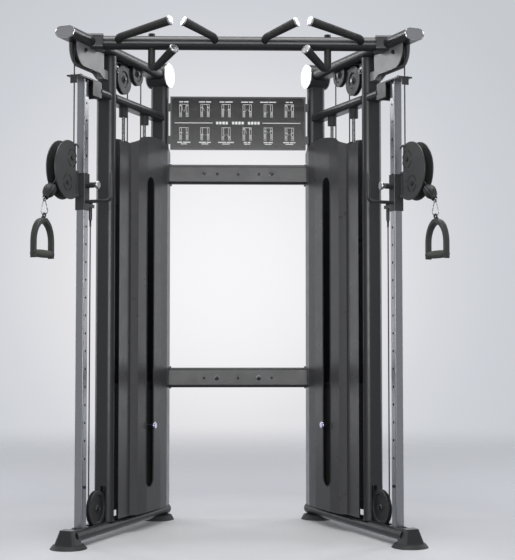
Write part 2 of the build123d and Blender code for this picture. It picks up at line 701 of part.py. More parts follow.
# The stack's pulley stands across the two cable planes.
FALL_A = (MID_PULLEY[0] + MID_PULLEY[3], PLANE_A)
FALL_B = (REAR_PULLEY[0] + REAR_PULLEY[3], PLANE_B)
STACK_GROOVE = hypot(FALL_B[0] - FALL_A[0], FALL_B[1] - FALL_A[1]) / 2
STACK_PULLEY_S = (FALL_A[0] + FALL_B[0]) / 2
STACK_TWIST = degrees(atan2(FALL_B[1] - FALL_A[1], FALL_B[0] - FALL_A[0]))
TWISTED_BACK = BACK * cos(radians(STACK_TWIST)) + INWARD * sin(radians(STACK_TWIST))
TWISTED_INWARD = INWARD * cos(radians(STACK_TWIST)) - BACK * sin(radians(STACK_TWIST))
STACK_PULLEY_CENTRE = spot(STACK_PULLEY_S, 0, STACK_PULLEY_Z)
STACK_OUTER = STACK_GROOVE + 8


def twisted_plane(offset):
    """Sketch in the stack pulley's own plane, about its centre."""
    return Plane(origin=STACK_PULLEY_CENTRE + TWISTED_INWARD * offset, x_dir=TWISTED_BACK, z_dir=TWISTED_INWARD)


with BuildPart() as stack_head:
    with BuildSketch(level(LIFTED_HIGH)):
        with Locations((0, STACK_S)):
            RectangleRounded(PLATE_DEPTH, PLATE_LENGTH, 12)
        with Locations((0, STACK_S - ROD_SPREAD), (0, STACK_S + ROD_SPREAD)):
            Circle(ROD_RADIUS + 0.5, mode=Mode.SUBTRACT)
    extrude(amount=HEAD_THICK)
    # Selector stem down through the plates, with a cross hole in each plate.
    post_at(STACK_S, 0, STEM_RADIUS, STACK_LOW + 5, LIFTED_HIGH)
    for n in range(PLATES_BELOW_PIN + PLATES_LIFTED):
        middle = STACK_LOW + n * PLATE_THICK + (PLATE_THICK - 0.4) / 2
        pin_at(STACK_S, middle, PIN_RADIUS + RUNNING_CLEARANCE, -20, 20, mode=Mode.SUBTRACT)
    # Two cheeks that hold the pulley.
    for offset in (-SHEAVE_WIDTH / 2 - 5.5, SHEAVE_WIDTH / 2 + 0.5):
        with BuildSketch(twisted_plane(offset)):
            with BuildLine():
                low = HEAD_HIGH - STACK_PULLEY_Z
                Polyline((-16, 0), (-26, low), (26, low), (16, 0))
                ThreePointArc((16, 0), (0, 16), (-16, 0))
            make_face()
        extrude(amount=5)
    with BuildSketch(twisted_plane(-SHEAVE_WIDTH / 2 - 10)):
        Circle(AXLE_RADIUS)
    extrude(amount=SHEAVE_WIDTH + 20)
save_both(stack_head.part, "stack_head")

stack_pulley = sheave(STACK_PULLEY_CENTRE, TWISTED_INWARD, STACK_OUTER, STACK_GROOVE)
save_both(stack_pulley, "stack_pulley")

KNOB_T = 100.0

with BuildPart() as selector_pin:
    pin_at(STACK_S, PIN_PLATE_Z - 0.2, PIN_RADIUS, -8, KNOB_T)
    with BuildSketch(Plane(origin=spot(STACK_S, KNOB_T - 4, PIN_PLATE_Z - 0.2), x_dir=BACK, z_dir=INWARD)):
        Circle(9)
    with BuildSketch(Plane(origin=spot(STACK_S, KNOB_T + 10, PIN_PLATE_Z - 0.2), x_dir=BACK, z_dir=INWARD)):
        Circle(17)
    loft()
    pin_at(STACK_S, PIN_PLATE_Z - 0.2, 17, KNOB_T + 10, KNOB_T + 18)
    fillet(selector_pin.faces().sort_by(Axis(spot(0), INWARD))[-1].edges(), 5)
save_both(selector_pin.part, "selector_pin")

# --- fixed pulleys -----------------------------------------------------------------------------
for name, wheel, plane_t in (
    ("front_pulley", FRONT_PULLEY, PLANE_A),
    ("mid_pulley", MID_PULLEY, PLANE_A),
    ("rear_pulley", REAR_PULLEY, PLANE_B),
    ("upright_pulley", UPRIGHT_PULLEY, PLANE_B),
    ("base_pulley", BASE_PULLEY, PLANE_B),
):
    s, z, outer, groove = wheel
    width = 16.0 if wheel is UPRIGHT_PULLEY else SHEAVE_WIDTH
    save_both(sheave(spot(s, plane_t, z), INWARD, outer, groove, width), name)

# --- carriage ------------------------------------------------------------------------------------
SLEEVE_HALF = SLEEVE_OUTER / 2
HUB_OUTER = 17.0
HUB_INNER = 8.0
HUB_LOW = 1482.0
HUB_HIGH = 1570.0
PIN_TIP_T = RAIL_SIDE / 2 + 0.6
PIN_SHAFT = 5.0
ANCHOR_LOW = 1386.0

with BuildPart() as carriage_sleeve:
    with BuildSketch(level(SLEEVE_LOW)):
        RectangleRounded(SLEEVE_OUTER, SLEEVE_OUTER, 4)
        RectangleRounded(SLEEVE_INNER, SLEEVE_INNER, 3, mode=Mode.SUBTRACT)
    extrude(amount=SLEEVE_HIGH - SLEEVE_LOW)
    # Hollow hub that the swivel turns on, and its web to the sleeve.
    box_at(SWIVEL_S, -SLEEVE_HALF + 1, PLANE_A - 7, PLANE_A + 7, HUB_LOW, HUB_HIGH)
    post_at(SWIVEL_S, PLANE_A, HUB_OUTER, HUB_LOW, HUB_HIGH)
    post_at(SWIVEL_S, PLANE_A, HUB_INNER, HUB_LOW - 1, HUB_HIGH + 1, mode=Mode.SUBTRACT)
    # Barrel of the pull pin.
    pin_at(0, PIN_Z, 12, SLEEVE_HALF - 0.5, SLEEVE_HALF + 30)
    pin_at(0, PIN_Z, 8, 1, SLEEVE_HALF + 31, mode=Mode.SUBTRACT)
    # Lug and threaded stem that take the lower end of the cable.
    box_at(SLEEVE_HALF - 1, ANCHOR_S + 13, PLANE_B - 13, PLANE_B + 13, 1436, 1450)
    post_at(ANCHOR_S, PLANE_B, 8, ANCHOR_LOW, 1436)
    post_at(ANCHOR_S, PLANE_B, 10, 1450, 1458)
    # Bent grab handle.
    with BuildLine(Plane(origin=spot(0), x_dir=INWARD, z_dir=BACK * -1)) as grab_path:
        FilletPolyline((SLEEVE_HALF - 2, 1457), (137, 1457), (137, 1576), radius=22)
    with BuildSketch(Plane(origin=spot(0, SLEEVE_HALF - 2, 1457), z_dir=INWARD)):
        Circle(7.5)
    sweep(path=grab_path.line)
save_both(carriage_sleeve.part, "carriage_sleeve")

with BuildPart() as pull_pin:
    pin_at(0, PIN_Z, PIN_SHAFT, PIN_TIP_T, SLEEVE_HALF + 36)
    pin_at(0, PIN_Z, 7.5, SLEEVE_HALF + 4, SLEEVE_HALF + 10)
    with BuildSketch(Plane(origin=spot(0, SLEEVE_HALF + 31, PIN_Z), x_dir=BACK, z_dir=INWARD)):
        Circle(8)
    with BuildSketch(Plane(origin=spot(0, SLEEVE_HALF + 48, PIN_Z), x_dir=BACK, z_dir=INWARD)):
        Circle(18)
    loft()
    pin_at(0, PIN_Z, 18, SLEEVE_HALF + 48, SLEEVE_HALF + 56)
    fillet(pull_pin.faces().sort_by(Axis(spot(0), INWARD))[-1].edges(), 5)
save_both(pull_pin.part, "pull_pin")

# --- swivel -----------------------------------------------------------------------------------------
CHEEK_INNER = 17.5
CHEEK_THICK = 4.0
CHEEK_MIDDLE = (-140.0, 1577.0)
CHEEK_RADIUS = 122.0
CHEEK_REAR = -87.0
YOKE_THICK = 9.0

with BuildPart() as swivel_housing:
    for t0 in (PLANE_A + CHEEK_INNER, PLANE_A - CHEEK_INNER - CHEEK_THICK):
        with BuildSketch(side_plane(t0)):
            with Locations(CHEEK_MIDDLE):
                Circle(CHEEK_RADIUS)
            with Locations((CHEEK_REAR, CHEEK_MIDDLE[1])):
                Rectangle(200, 300, align=(Align.MIN, Align.CENTER), mode=Mode.SUBTRACT)
            for low in (HUB_HIGH + 1, HUB_LOW - 1 - YOKE_THICK):
                with Locations(((SWIVEL_S + CHEEK_REAR) / 2 - 4, low + YOKE_THICK / 2)):
                    Rectangle(SWIVEL_S - CHEEK_REAR + 24, YOKE_THICK)
        extrude(amount=CHEEK_THICK)
    # Yokes above and below the hub, and the pivot through it.
    for front, low in ((-83, HUB_HIGH + 1), (-100, HUB_LOW - 1 - YOKE_THICK)):
        t_low, t_high = PLANE_A - CHEEK_INNER, PLANE_A + CHEEK_INNER
        box_at(front, SWIVEL_S + 16, t_low, t_high, low, low + YOKE_THICK)
    post_at(SWIVEL_S, PLANE_A, HUB_INNER - RUNNING_CLEARANCE, HUB_LOW - 1, HUB_HIGH + 1)
    post_at(SWIVEL_S, PLANE_A, 11, HUB_HIGH + 1 + YOKE_THICK, HUB_HIGH + 6 + YOKE_THICK)
    # Axle bolts of the two pulleys.
    for wheel in (UPPER_SWIVEL_PULLEY, LOWER_SWIVEL_PULLEY):
        reach = CHEEK_INNER + CHEEK_THICK
        pin_at(wheel[0], wheel[1], AXLE_RADIUS, PLANE_A - reach, PLANE_A + reach)
        pin_at(wheel[0], wheel[1], 8, PLANE_A + reach, PLANE_A + reach + 4)
        pin_at(wheel[0], wheel[1], 8, PLANE_A - reach - 4, PLANE_A - reach)
save_both(swivel_housing.part, "swivel_housing")

for name, wheel in (
    ("swivel_pulley_upper", UPPER_SWIVEL_PULLEY), ("swivel_pulley_lower", LOWER_SWIVEL_PULLEY)
):
    s, z, outer, groove = wheel
    save_both(sheave(spot(s, PLANE_A, z), INWARD, outer, groove), name)

# --- ball, snap hook and handle ------------------------------------------------------------------------
EXIT_ANGLE = 225.0            # the cable leaves the lower pulley down and forward
PULL = BACK * cos(radians(EXIT_ANGLE)) + UP * sin(radians(EXIT_ANGLE))
exit_s, exit_z = on_wheel(LOWER_SWIVEL_PULLEY, EXIT_ANGLE - 90)
EXIT_POINT = spot(exit_s, PLANE_A, exit_z)
BALL_START = 76.0
BALL_LENGTH = 84.0
BALL_RADIUS = 28.0
ball_plane = Plane(origin=EXIT_POINT + PULL * BALL_START, x_dir=INWARD, z_dir=INWARD.cross(PULL))

with BuildPart() as cable_stop_ball:
    with BuildSketch(ball_plane):
        with BuildLine():
            Line((0, 0), (15, 0))
            Spline((15, 0), (26, 18), (BALL_RADIUS, 38), (22, 66), (14, BALL_LENGTH))
            Line((14, BALL_LENGTH), (0, BALL_LENGTH))
            Line((0, BALL_LENGTH), (0, 0))
        make_face()
    revolve(axis=Axis(EXIT_POINT, PULL))
    # Eye that the snap hook hangs from.
    eye_centre = EXIT_POINT + PULL * (BALL_START + BALL_LENGTH + 9)
    with BuildSketch(Plane(origin=eye_centre - INWARD * 3, x_dir=PULL, z_dir=INWARD)):
        Circle(10)
        with Locations((-8, 0)):
            Rectangle(14, 14)
        Circle(6, mode=Mode.SUBTRACT)
    extrude(amount=6)
save_both(cable_stop_ball.part, "cable_stop_ball")

HOOK_WIRE = 2.5
HOOK_HALF = 13.0
HOOK_TALL = 60.0
hook_top = eye_centre - UP * 2.5
hook_middle = hook_top - UP * (HOOK_TALL / 2)
hook_plane = Plane(origin=hook_middle, x_dir=INWARD, z_dir=BACK * -1)

with BuildPart() as snap_hook:
    half = HOOK_TALL / 2
    with BuildLine(hook_plane) as ring:
        Line((-HOOK_HALF, half - HOOK_HALF), (-HOOK_HALF, HOOK_HALF - half))
        ThreePointArc((-HOOK_HALF, HOOK_HALF - half), (0, -half), (HOOK_HALF, HOOK_HALF - half))
        Line((HOOK_HALF, HOOK_HALF - half), (HOOK_HALF, half - HOOK_HALF))
        ThreePointArc((HOOK_HALF, half - HOOK_HALF), (0, half), (-HOOK_HALF, half - HOOK_HALF))
    start = hook_middle - INWARD * HOOK_HALF + UP * (half - HOOK_HALF)
    with BuildSketch(Plane(origin=start, z_dir=UP * -1)):
        Circle(HOOK_WIRE)
    sweep(path=ring.wires()[0])
save_both(snap_hook.part, "snap_hook")

HANDLE_TURN = 7.0             # the handle hangs a little turned from the tower's plane
HANDLE_ACROSS = BACK * cos(radians(HANDLE_TURN)) + INWARD * sin(radians(HANDLE_TURN))
HANDLE_FACING = HANDLE_ACROSS.cross(UP)
STIRRUP_HALF = 64.0
STIRRUP_TALL = 181.0
STRAP_DEEP = 28.0
STRAP_THICK = 12.0
GRIP_UP = 18.0
HANDLE_EYE = hook_middle - UP * (HOOK_TALL / 2 + 2.0)
stirrup_plane = Plane(origin=HANDLE_EYE, x_dir=HANDLE_ACROSS, z_dir=HANDLE_FACING)

with BuildPart() as stirrup_handle:
    with BuildSketch(stirrup_plane.offset(-STRAP_DEEP / 2)):
        with BuildLine():
            low = -STIRRUP_TALL
            wide = STIRRUP_HALF
            Line((-wide, low + 12), (-wide, -100))
            ThreePointArc((-wide, -100), (-50, -52), (-16, -14))
            Line((-16, -14), (16, -14))
            ThreePointArc((16, -14), (50, -52), (wide, -100))
            Line((wide, -100), (wide, low + 12))
            Line((wide, low + 12), (wide - 12, low))
            Line((wide - 12, low), (12 - wide, low))
            Line((12 - wide, low), (-wide, low + 12))
        make_face()
        with BuildLine():
            wide = STIRRUP_HALF - STRAP_THICK
            Line((-wide, low), (-wide, -104))
            ThreePointArc((-wide, -104), (-39, -70), (-12, -47))
            Line((-12, -47), (12, -47))
            ThreePointArc((12, -47), (39, -70), (wide, -104))
            Line((wide, -104), (wide, low))
            Line((wide, low), (-wide, low))
        make_face(mode=Mode.SUBTRACT)
    extrude(amount=STRAP_DEEP)
    # Grip bar between the arms.
    grip_end = HANDLE_EYE - HANDLE_ACROSS * (wide + 1) - UP * (STIRRUP_TALL - GRIP_UP)
    with BuildSketch(Plane(origin=grip_end, z_dir=HANDLE_ACROSS)):
        Circle(16)
    extrude(amount=2 * (wide + 1))
    # Thin eye that hangs on the snap hook.
    with BuildSketch(stirrup_plane.offset(-4)):
        Circle(11)
        with Locations((0, -10)):
            Rectangle(20, 16)
        Circle(5.5, mode=Mode.SUBTRACT)
    extrude(amount=8)
save_both(stirrup_handle.part, "stirrup_handle")

# --- cable ---------------------------------------------------------------------------------------------
LOWER, UPPER = LOWER_SWIVEL_PULLEY, UPPER_SWIVEL_PULLEY


def arc_on(wheel, start_angle, end_angle):
    """The cable's arc on a pulley, in the open line."""
    ThreePointArc(
        on_wheel(wheel, start_angle), on_wheel(wheel, (start_angle + end_angle) / 2), on_wheel(wheel, end_angle)
    )


# From the ball, between the swivel pulleys, up and back to the stack.
upper_leave, lower_meet = tangent(UPPER, LOWER, -1, 1)
front_leave, mid_meet = tangent(FRONT_PULLEY, MID_PULLEY, 1, 1)
# From the stack, forward over the upper pulleys, down inside the upright and up to the carriage.
rear_leave, upright_meet = tangent(REAR_PULLEY, UPRIGHT_PULLEY, -1, -1)

with BuildPart() as cable:
    with BuildLine(side_plane(PLANE_A)) as run_a:
        lower_angle = angle_of(LOWER, lower_meet)
        upper_angle = angle_of(UPPER, upper_leave)
        exit_point = on_wheel(LOWER, EXIT_ANGLE - 90)
        pull_s, pull_z = cos(radians(EXIT_ANGLE)), sin(radians(EXIT_ANGLE))
        Line((exit_point[0] + BALL_START * pull_s, exit_point[1] + BALL_START * pull_z), exit_point)
        arc_on(LOWER, EXIT_ANGLE - 90, lower_angle)
        Line(lower_meet, upper_leave)
        arc_on(UPPER, upper_angle, 360)
        Line(on_wheel(UPPER, 0), on_wheel(FRONT_PULLEY, 180))
        arc_on(FRONT_PULLEY, 180, angle_of(FRONT_PULLEY, front_leave))
        Line(front_leave, mid_meet)
        arc_on(MID_PULLEY, angle_of(MID_PULLEY, mid_meet), 0)
        Line(on_wheel(MID_PULLEY, 0), (FALL_A[0], STACK_PULLEY_Z))
    with BuildSketch(Plane(origin=EXIT_POINT + PULL * BALL_START, z_dir=PULL * -1)):
        Circle(CABLE_RADIUS)
    sweep(path=run_a.wires()[0])
    with BuildLine(twisted_plane(0)) as turn:
        ThreePointArc((-STACK_GROOVE, 0), (0, -STACK_GROOVE), (STACK_GROOVE, 0))
    with BuildSketch(Plane(origin=spot(FALL_A[0], FALL_A[1], STACK_PULLEY_Z), z_dir=UP * -1)):
        Circle(CABLE_RADIUS)
    sweep(path=turn.wires()[0])
    with BuildLine(side_plane(PLANE_B)) as run_b:
        Line((FALL_B[0], STACK_PULLEY_Z), on_wheel(REAR_PULLEY, 0))
        arc_on(REAR_PULLEY, 0, angle_of(REAR_PULLEY, rear_leave))
        Line(rear_leave, upright_meet)
        arc_on(UPRIGHT_PULLEY, angle_of(UPRIGHT_PULLEY, upright_meet), 180)
        Line(on_wheel(UPRIGHT_PULLEY, 180), on_wheel(BASE_PULLEY, 0))
        arc_on(BASE_PULLEY, 0, -180)
        Line(on_wheel(BASE_PULLEY, 180), (ANCHOR_S, ANCHOR_LOW))
    with BuildSketch(Plane(origin=spot(FALL_B[0], FALL_B[1], STACK_PULLEY_Z), z_dir=UP)):
        Circle(CABLE_RADIUS)
    sweep(path=run_b.wires()[0])
save_both(cable.part, "cable")
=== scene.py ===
"""Looks of the cable crossover machine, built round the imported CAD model. Metres, +Z up.

The CAD nodes keep their shapes and get materials. Cables, handles, balls, snap hooks, grips and the
chart's pictograms are modelled here. Shapes are drawn for the left-hand tower, and the right-hand
tower gets their mirror images.
"""

import json
from math import atan2, cos, degrees, hypot, pi, radians, sin, sqrt, tan

import bmesh
import bpy
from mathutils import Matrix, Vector


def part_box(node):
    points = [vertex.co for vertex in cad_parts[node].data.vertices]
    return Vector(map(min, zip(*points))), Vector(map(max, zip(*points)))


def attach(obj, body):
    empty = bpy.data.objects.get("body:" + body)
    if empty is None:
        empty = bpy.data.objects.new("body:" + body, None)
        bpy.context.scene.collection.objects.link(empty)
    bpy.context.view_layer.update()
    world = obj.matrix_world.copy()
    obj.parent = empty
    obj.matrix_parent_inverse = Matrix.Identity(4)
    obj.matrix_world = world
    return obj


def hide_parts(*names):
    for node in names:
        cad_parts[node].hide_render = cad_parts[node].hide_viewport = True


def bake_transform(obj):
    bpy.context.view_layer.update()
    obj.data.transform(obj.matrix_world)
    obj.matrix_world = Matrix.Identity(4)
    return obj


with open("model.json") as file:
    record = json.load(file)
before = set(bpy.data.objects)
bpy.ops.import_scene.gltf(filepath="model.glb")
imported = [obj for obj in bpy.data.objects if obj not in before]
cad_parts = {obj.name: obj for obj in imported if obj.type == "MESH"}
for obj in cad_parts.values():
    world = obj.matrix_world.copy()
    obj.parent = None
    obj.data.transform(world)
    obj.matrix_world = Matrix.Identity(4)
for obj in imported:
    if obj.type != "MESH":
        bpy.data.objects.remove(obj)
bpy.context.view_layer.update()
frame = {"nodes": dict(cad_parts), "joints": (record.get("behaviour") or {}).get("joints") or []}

# --- places, from the frame -------------------------------------------------------------------
JOINTS = {joint["name"]: joint for joint in frame["joints"]}
UP = Vector((0, 0, 1))
INWARD = Vector(JOINTS["front_pulley_spin_left"]["axis"])   # across the left tower, to the user
BACK = UP.cross(INWARD)                                     # backwards along the left tower
PLANE_A = -0.006              # cable plane of the run from the handle to the stack
PLANE_B = 0.006               # cable plane of the run from the stack to the carriage
SWIVEL_S = -0.067             # swivel axis, in front of the carriage rail
SIDES = ("left", "right")


def pivot(name):
    """A left-hand joint's position."""
    return Vector(JOINTS[name]["pos_m"])


RAIL = pivot("swivel_turn_left") - BACK * SWIVEL_S - INWARD * PLANE_A
RAIL.z = 0


def spot(s, t, z):
    """The point of the left tower at s backwards, t inwards and z up from the carriage rail."""
    return RAIL + BACK * s + INWARD * t + UP * z


def local(point):
    """(s, z) of a point of the left tower."""
    return (point - RAIL).dot(BACK), point.z


CABLE_RADIUS = 0.0030
RAIL_BORE = 0.0188            # half the width inside the carriage rail, with the holes' walls


def wheel(joint, groove):
    """A pulley as (s, z, groove radius at the cable's centre)."""
    return (*local(pivot(joint)), groove)


FRONT = wheel("front_pulley_spin_left", 0.050)
MID = wheel("mid_pulley_spin_left", 0.048)
REAR = wheel("rear_pulley_spin_left", 0.048)
UPRIGHT = wheel("upright_pulley_spin_left", 0.0355)
BASE = wheel("base_pulley_spin_left", 0.07125)
UPPER = wheel("upper_swivel_pulley_spin_left", 0.0515)
LOWER = wheel("lower_swivel_pulley_spin_left", 0.0475)
STACK = pivot("stack_pulley_spin_left")
STACK_AXIS = Vector(JOINTS["stack_pulley_spin_left"]["axis"])
PULL = Vector(JOINTS["handle_pull_left"]["axis"])
HANG = pivot("stirrup_swing_left")                          # bottom of the snap hook
FACING = Vector(JOINTS["stirrup_swing_left"]["axis"])
ACROSS = UP.cross(FACING)
LEAN = Vector((-0.0065, 0, 0))    # the stirrup hangs this far off the hook, away from the machine

# --- materials --------------------------------------------------------------------------------


class Shader:
    """A Principled material with a few helpers for its nodes."""

    def __init__(self, name, color, rough, metal=0.0, **inputs):
        self.material = bpy.data.materials.new(name)
        self.material.use_nodes = True
        self.tree = self.material.node_tree
        self.bsdf = self.tree.nodes["Principled BSDF"]
        self.color, self.rough = color, rough
        self.put("Base Color", (*color, 1))
        self.put("Roughness", rough)
        self.put("Metallic", metal)
        for key, value in inputs.items():
            self.put(key.replace("_", " "), value)
        self.place = self.node("TexCoord").outputs["Object"]
        self.normal = None

    def put(self, socket, value):
        self.bsdf.inputs[socket].default_value = value

    def node(self, kind, **values):
        made = self.tree.nodes.new("ShaderNode" + kind)
        for key, value in values.items():
            setattr(made, key, value)
        return made

    def link(self, source, target):
        self.tree.links.new(source, target)

    def noise(self, scale, detail=3.0, stretch=(1, 1, 1)):
        """Noise over the object's own coordinates, in cells per metre."""
        mapping = self.node("Mapping")
        mapping.inputs["Scale"].default_value = stretch
        self.link(self.place, mapping.inputs["Vector"])
        made = self.node("TexNoise")
        made.inputs["Scale"].default_value = scale
        made.inputs["Detail"].default_value = detail
        self.link(mapping.outputs["Vector"], made.inputs["Vector"])
        return made.outputs["Fac"]

    def spread(self, source, low, high, start=0.3, end=0.7):
        """A number from low to high as the source goes from start to end."""
        made = self.node("MapRange")
        for key, value in (("From Min", start), ("From Max", end), ("To Min", low), ("To Max", high)):
            made.inputs[key].default_value = value
        self.link(source, made.inputs["Value"])
        return made.outputs["Result"]

    def vary_rough(self, source, by):
        self.link(self.spread(source, self.rough - by, self.rough + by), self.bsdf.inputs["Roughness"])

    def tint(self, source, other, most=1.0, start=0.35, end=0.65):
        """Mix another colour over the base where the source is high."""
        made = self.node("Mix", data_type="RGBA")
        made.inputs["A"].default_value = (*self.color, 1)
        made.inputs["B"].default_value = (*other, 1)
        before = self.bsdf.inputs["Base Color"].links
        if before:
            self.link(before[0].from_socket, made.inputs["A"])
        self.link(self.spread(source, 0.0, most, start, end), made.inputs["Factor"])
        self.link(made.outputs["Result"], self.bsdf.inputs["Base Color"])

    def calc(self, operation, first, second=0.0):
        """One step of arithmetic on numbers or other nodes' outputs."""
        made = self.node("Math", operation=operation)
        for socket, value in zip(made.inputs, (first, second)):
            if isinstance(value, float):
                socket.default_value = value
            else:
                self.link(value, socket)
        return made.outputs["Value"]

    def paint_bore_shade(self, half):
        """Painted shade inside the square carriage rail, so that its holes look deep."""
        parts = self.node("SeparateXYZ")
        self.link(self.place, parts.inputs[0])
        aside = self.calc("SUBTRACT", -RAIL.x, self.calc("ABSOLUTE", parts.outputs["X"]))
        behind = self.calc("SUBTRACT", parts.outputs["Y"], RAIL.y)
        reach = []
        for way in (INWARD, BACK):
            sideways = self.calc("MULTIPLY", aside, way.x)
            lengthways = self.calc("MULTIPLY", behind, way.y)
            reach.append(self.calc("ABSOLUTE", self.calc("ADD", sideways, lengthways)))
        depth = self.calc("SUBTRACT", half, self.calc("MAXIMUM", *reach))
        self.tint(depth, (0.003, 0.003, 0.003), 1.0, 0.0, 0.0005)

    def bump(self, source, depth, strength=1.0):
        """Raise the surface by the source times depth, in metres."""
        made = self.node("Bump")
        made.inputs["Strength"].default_value = strength
        made.inputs["Distance"].default_value = depth
        self.link(source, made.inputs["Height"])
        if self.normal:
            self.link(self.normal, made.inputs["Normal"])
        self.normal = made.outputs["Normal"]
        self.link(self.normal, self.bsdf.inputs["Normal"])

    def paint_edge_highlight(self, color, most=0.6):
        """Painted highlight: lighter colour on the sharpest convex edges."""
        geometry = self.node("NewGeometry")
        self.tint(geometry.outputs["Pointiness"], color, most, 0.53, 0.62)


def shade(color, by):
    return tuple(min(1.0, max(0.0, channel * by)) for channel in color)


def powder_coat(name, color, rough=0.36, grain=0.00006):
    """Baked powder paint: fine orange peel, slow changes of tone and gloss, edges painted lighter as a
    highlight.
    """
    made = Shader(name, color, rough, Coat_Weight=0.25, Coat_Roughness=0.22)
    made.tint(made.noise(2.2, 4), shade(color, 1.18), 0.8)
    made.tint(made.noise(38, 5), shade(color, 0.86), 0.5)
    # Painted highlight on the sharpest edges.
    made.paint_edge_highlight(shade(color, 2.0), 0.45)
    made.vary_rough(made.noise(17, 4), 0.05)
    made.bump(made.noise(1500, 2), grain)
    made.bump(made.noise(130, 2), grain * 1.6, 0.5)
    return made.material


def brushed(name, color, rough, stretch, grain=0.00003, metal=1.0, shade_bore=False):
    """Metal with fine brush lines along the axis that has the small stretch; it can paint shade inside the
    rail's bore.
    """
    made = Shader(name, color, rough, metal)
    lines = made.noise(1.0, 5, stretch)
    made.tint(lines, shade(color, 0.82), 0.7)
    made.tint(made.noise(5, 5), shade(color, 0.9), 0.6)
    made.vary_rough(lines, 0.09)
    made.bump(lines, grain)
    # Painted shade: near-black inside the carriage rail's bore, where shade falls.
    if shade_bore:
        made.paint_bore_shade(RAIL_BORE)
    return made.material


def polished(name, color, rough):
    """Plated metal with faint smears and pin-prick pitting."""
    made = Shader(name, color, rough, 1.0)
    made.tint(made.noise(55, 6), shade(color, 0.8), 0.5)
    made.vary_rough(made.noise(24, 5), rough * 0.6)
    made.bump(made.noise(900, 2), 0.00001, 0.4)
    return made.material


def moulded(name, color, rough, grain=0.00008, cells=900):
    """Moulded plastic or rubber with a spark-eroded grain and slight dust in the tone."""
    made = Shader(name, color, rough)
    made.tint(made.noise(9, 5), shade(color, 1.35), 0.6)
    made.tint(made.noise(240, 4), shade(color, 0.8), 0.5)
    # Painted highlight on the sharpest edges.
    made.paint_edge_highlight(shade(color, 1.9), 0.35)
    made.vary_rough(made.noise(30, 4), 0.06)
    made.bump(made.noise(cells, 3), grain)
    return made.material


def cast(name, color):
    """Painted castings: pebbled skin with darker hollows."""
    made = Shader(name, color, 0.5)
    skin = made.noise(420, 5)
    made.tint(skin, shade(color, 0.6), 0.7)
    # Painted highlight on the sharpest edges.
    made.paint_edge_highlight(shade(color, 2.4), 0.6)
    made.vary_rough(made.noise(60, 4), 0.08)
    made.bump(skin, 0.00025)
    return made.material


def cable_coat(name, color):
    """Nylon-coated wire rope: the strands show faintly as slanting ridges."""
    made = Shader(name, color, 0.34, Coat_Weight=0.3, Coat_Roughness=0.15)
    ridges = made.node("TexWave", bands_direction="DIAGONAL")
    ridges.inputs["Scale"].default_value = 260
    ridges.inputs["Distortion"].default_value = 0.6
    made.link(made.place, ridges.inputs["Vector"])
    made.tint(ridges.outputs["Fac"], shade(color, 1.5), 0.4)
    made.tint(made.noise(14, 4), shade(color, 0.8), 0.5)
    made.vary_rough(made.noise(90, 3), 0.05)
    made.bump(ridges.outputs["Fac"], 0.00012, 0.6)
    return made.material


def gloss_board(name, color):
    """Printed board under a clear film: nearly flat, with faint waves and wipe marks."""
    made = Shader(name, color, 0.24, Coat_Weight=0.35, Coat_Roughness=0.10)
    made.tint(made.noise(3, 3), shade(color, 1.15), 0.7)
    made.vary_rough(made.noise(11, 6, (1, 1, 3)), 0.05)
    made.bump(made.noise(14, 2), 0.00015, 0.4)
    return made.material


CHARCOAL = (0.024, 0.0245, 0.027)
FRAME = powder_coat("frame_powder_coat", CHARCOAL, 0.34)
PLATES = powder_coat("light_grey_powder_coat", (0.17, 0.17, 0.175), 0.4)
COVERS = powder_coat("cover_powder_coat", (0.050, 0.050, 0.053), 0.32)
BOARD_FRAME = powder_coat("board_frame_powder_coat", (0.055, 0.055, 0.058), 0.42)
CARRIAGE = powder_coat("carriage_powder_coat", (0.030, 0.031, 0.033), 0.38, 0.00008)
CHEEKS = powder_coat("swivel_powder_coat", (0.040, 0.041, 0.041), 0.40, 0.00008)
# The rails' material paints shade inside their bore.
RAILS = brushed("brushed_rail_steel", (0.56, 0.575, 0.61), 0.30, (900, 900, 6), 0.00001, shade_bore=True)
RODS = polished("plated_rod", (0.22, 0.225, 0.23), 0.25)
CAPS = brushed("satin_cap_aluminium", (0.74, 0.74, 0.76), 0.30, (500, 500, 500), 0.00002)
ZINC = polished("zinc_plated_steel", (0.45, 0.45, 0.46), 0.3)
DARK_BOLT = polished("blackened_steel", (0.09, 0.09, 0.095), 0.35)
CHROME = polished("bright_chrome", (0.88, 0.88, 0.9), 0.07)
SOFT_GRIP = moulded("grip_rubber", (0.022, 0.022, 0.023), 0.55, 0.00018, 1400)
FEET = moulded("foot_rubber", (0.028, 0.029, 0.03), 0.6, 0.00015, 700)
WHEELS = moulded("pulley_nylon", (0.028, 0.029, 0.031), 0.42)
BALL = moulded("ball_rubber", (0.016, 0.016, 0.017), 0.5, 0.0003, 500)
HANDLE = moulded("handle_plastic", (0.042, 0.044, 0.042), 0.5, 0.0002, 600)
HANDLE_GRIP = moulded("handle_grip_foam", (0.075, 0.078, 0.068), 0.6, 0.0003, 900)
KNOB = polished("satin_silver", (0.80, 0.80, 0.82), 0.36)
GRIP_CAP = polished("satin_grip_cap", (0.90, 0.90, 0.92), 0.34)
HOOK_STEEL = polished("hook_steel", (0.42, 0.42, 0.43), 0.22)
KNOB_CAP = polished("lavender_anodised", (0.62, 0.60, 0.80), 0.18)
WEIGHTS = cast("cast_weights", (0.030, 0.030, 0.032))
CABLE = cable_coat("nylon_cable", (0.016, 0.0165, 0.018))
BOARD = gloss_board("board_film", (0.012, 0.012, 0.013))
PRINT = moulded("board_print", (0.50, 0.50, 0.50), 0.45, 0.00002)
PRINT_BRIGHT = moulded("board_print_bright", (0.85, 0.85, 0.85), 0.45, 0.00002)
# Black for the cheeks' relief marks, and painted shade for bolt sockets and the sheet behind the stack.
RELIEF_AND_SHADE_BLACK = moulded("relief_and_shade_black", (0.008, 0.008, 0.008), 0.6)

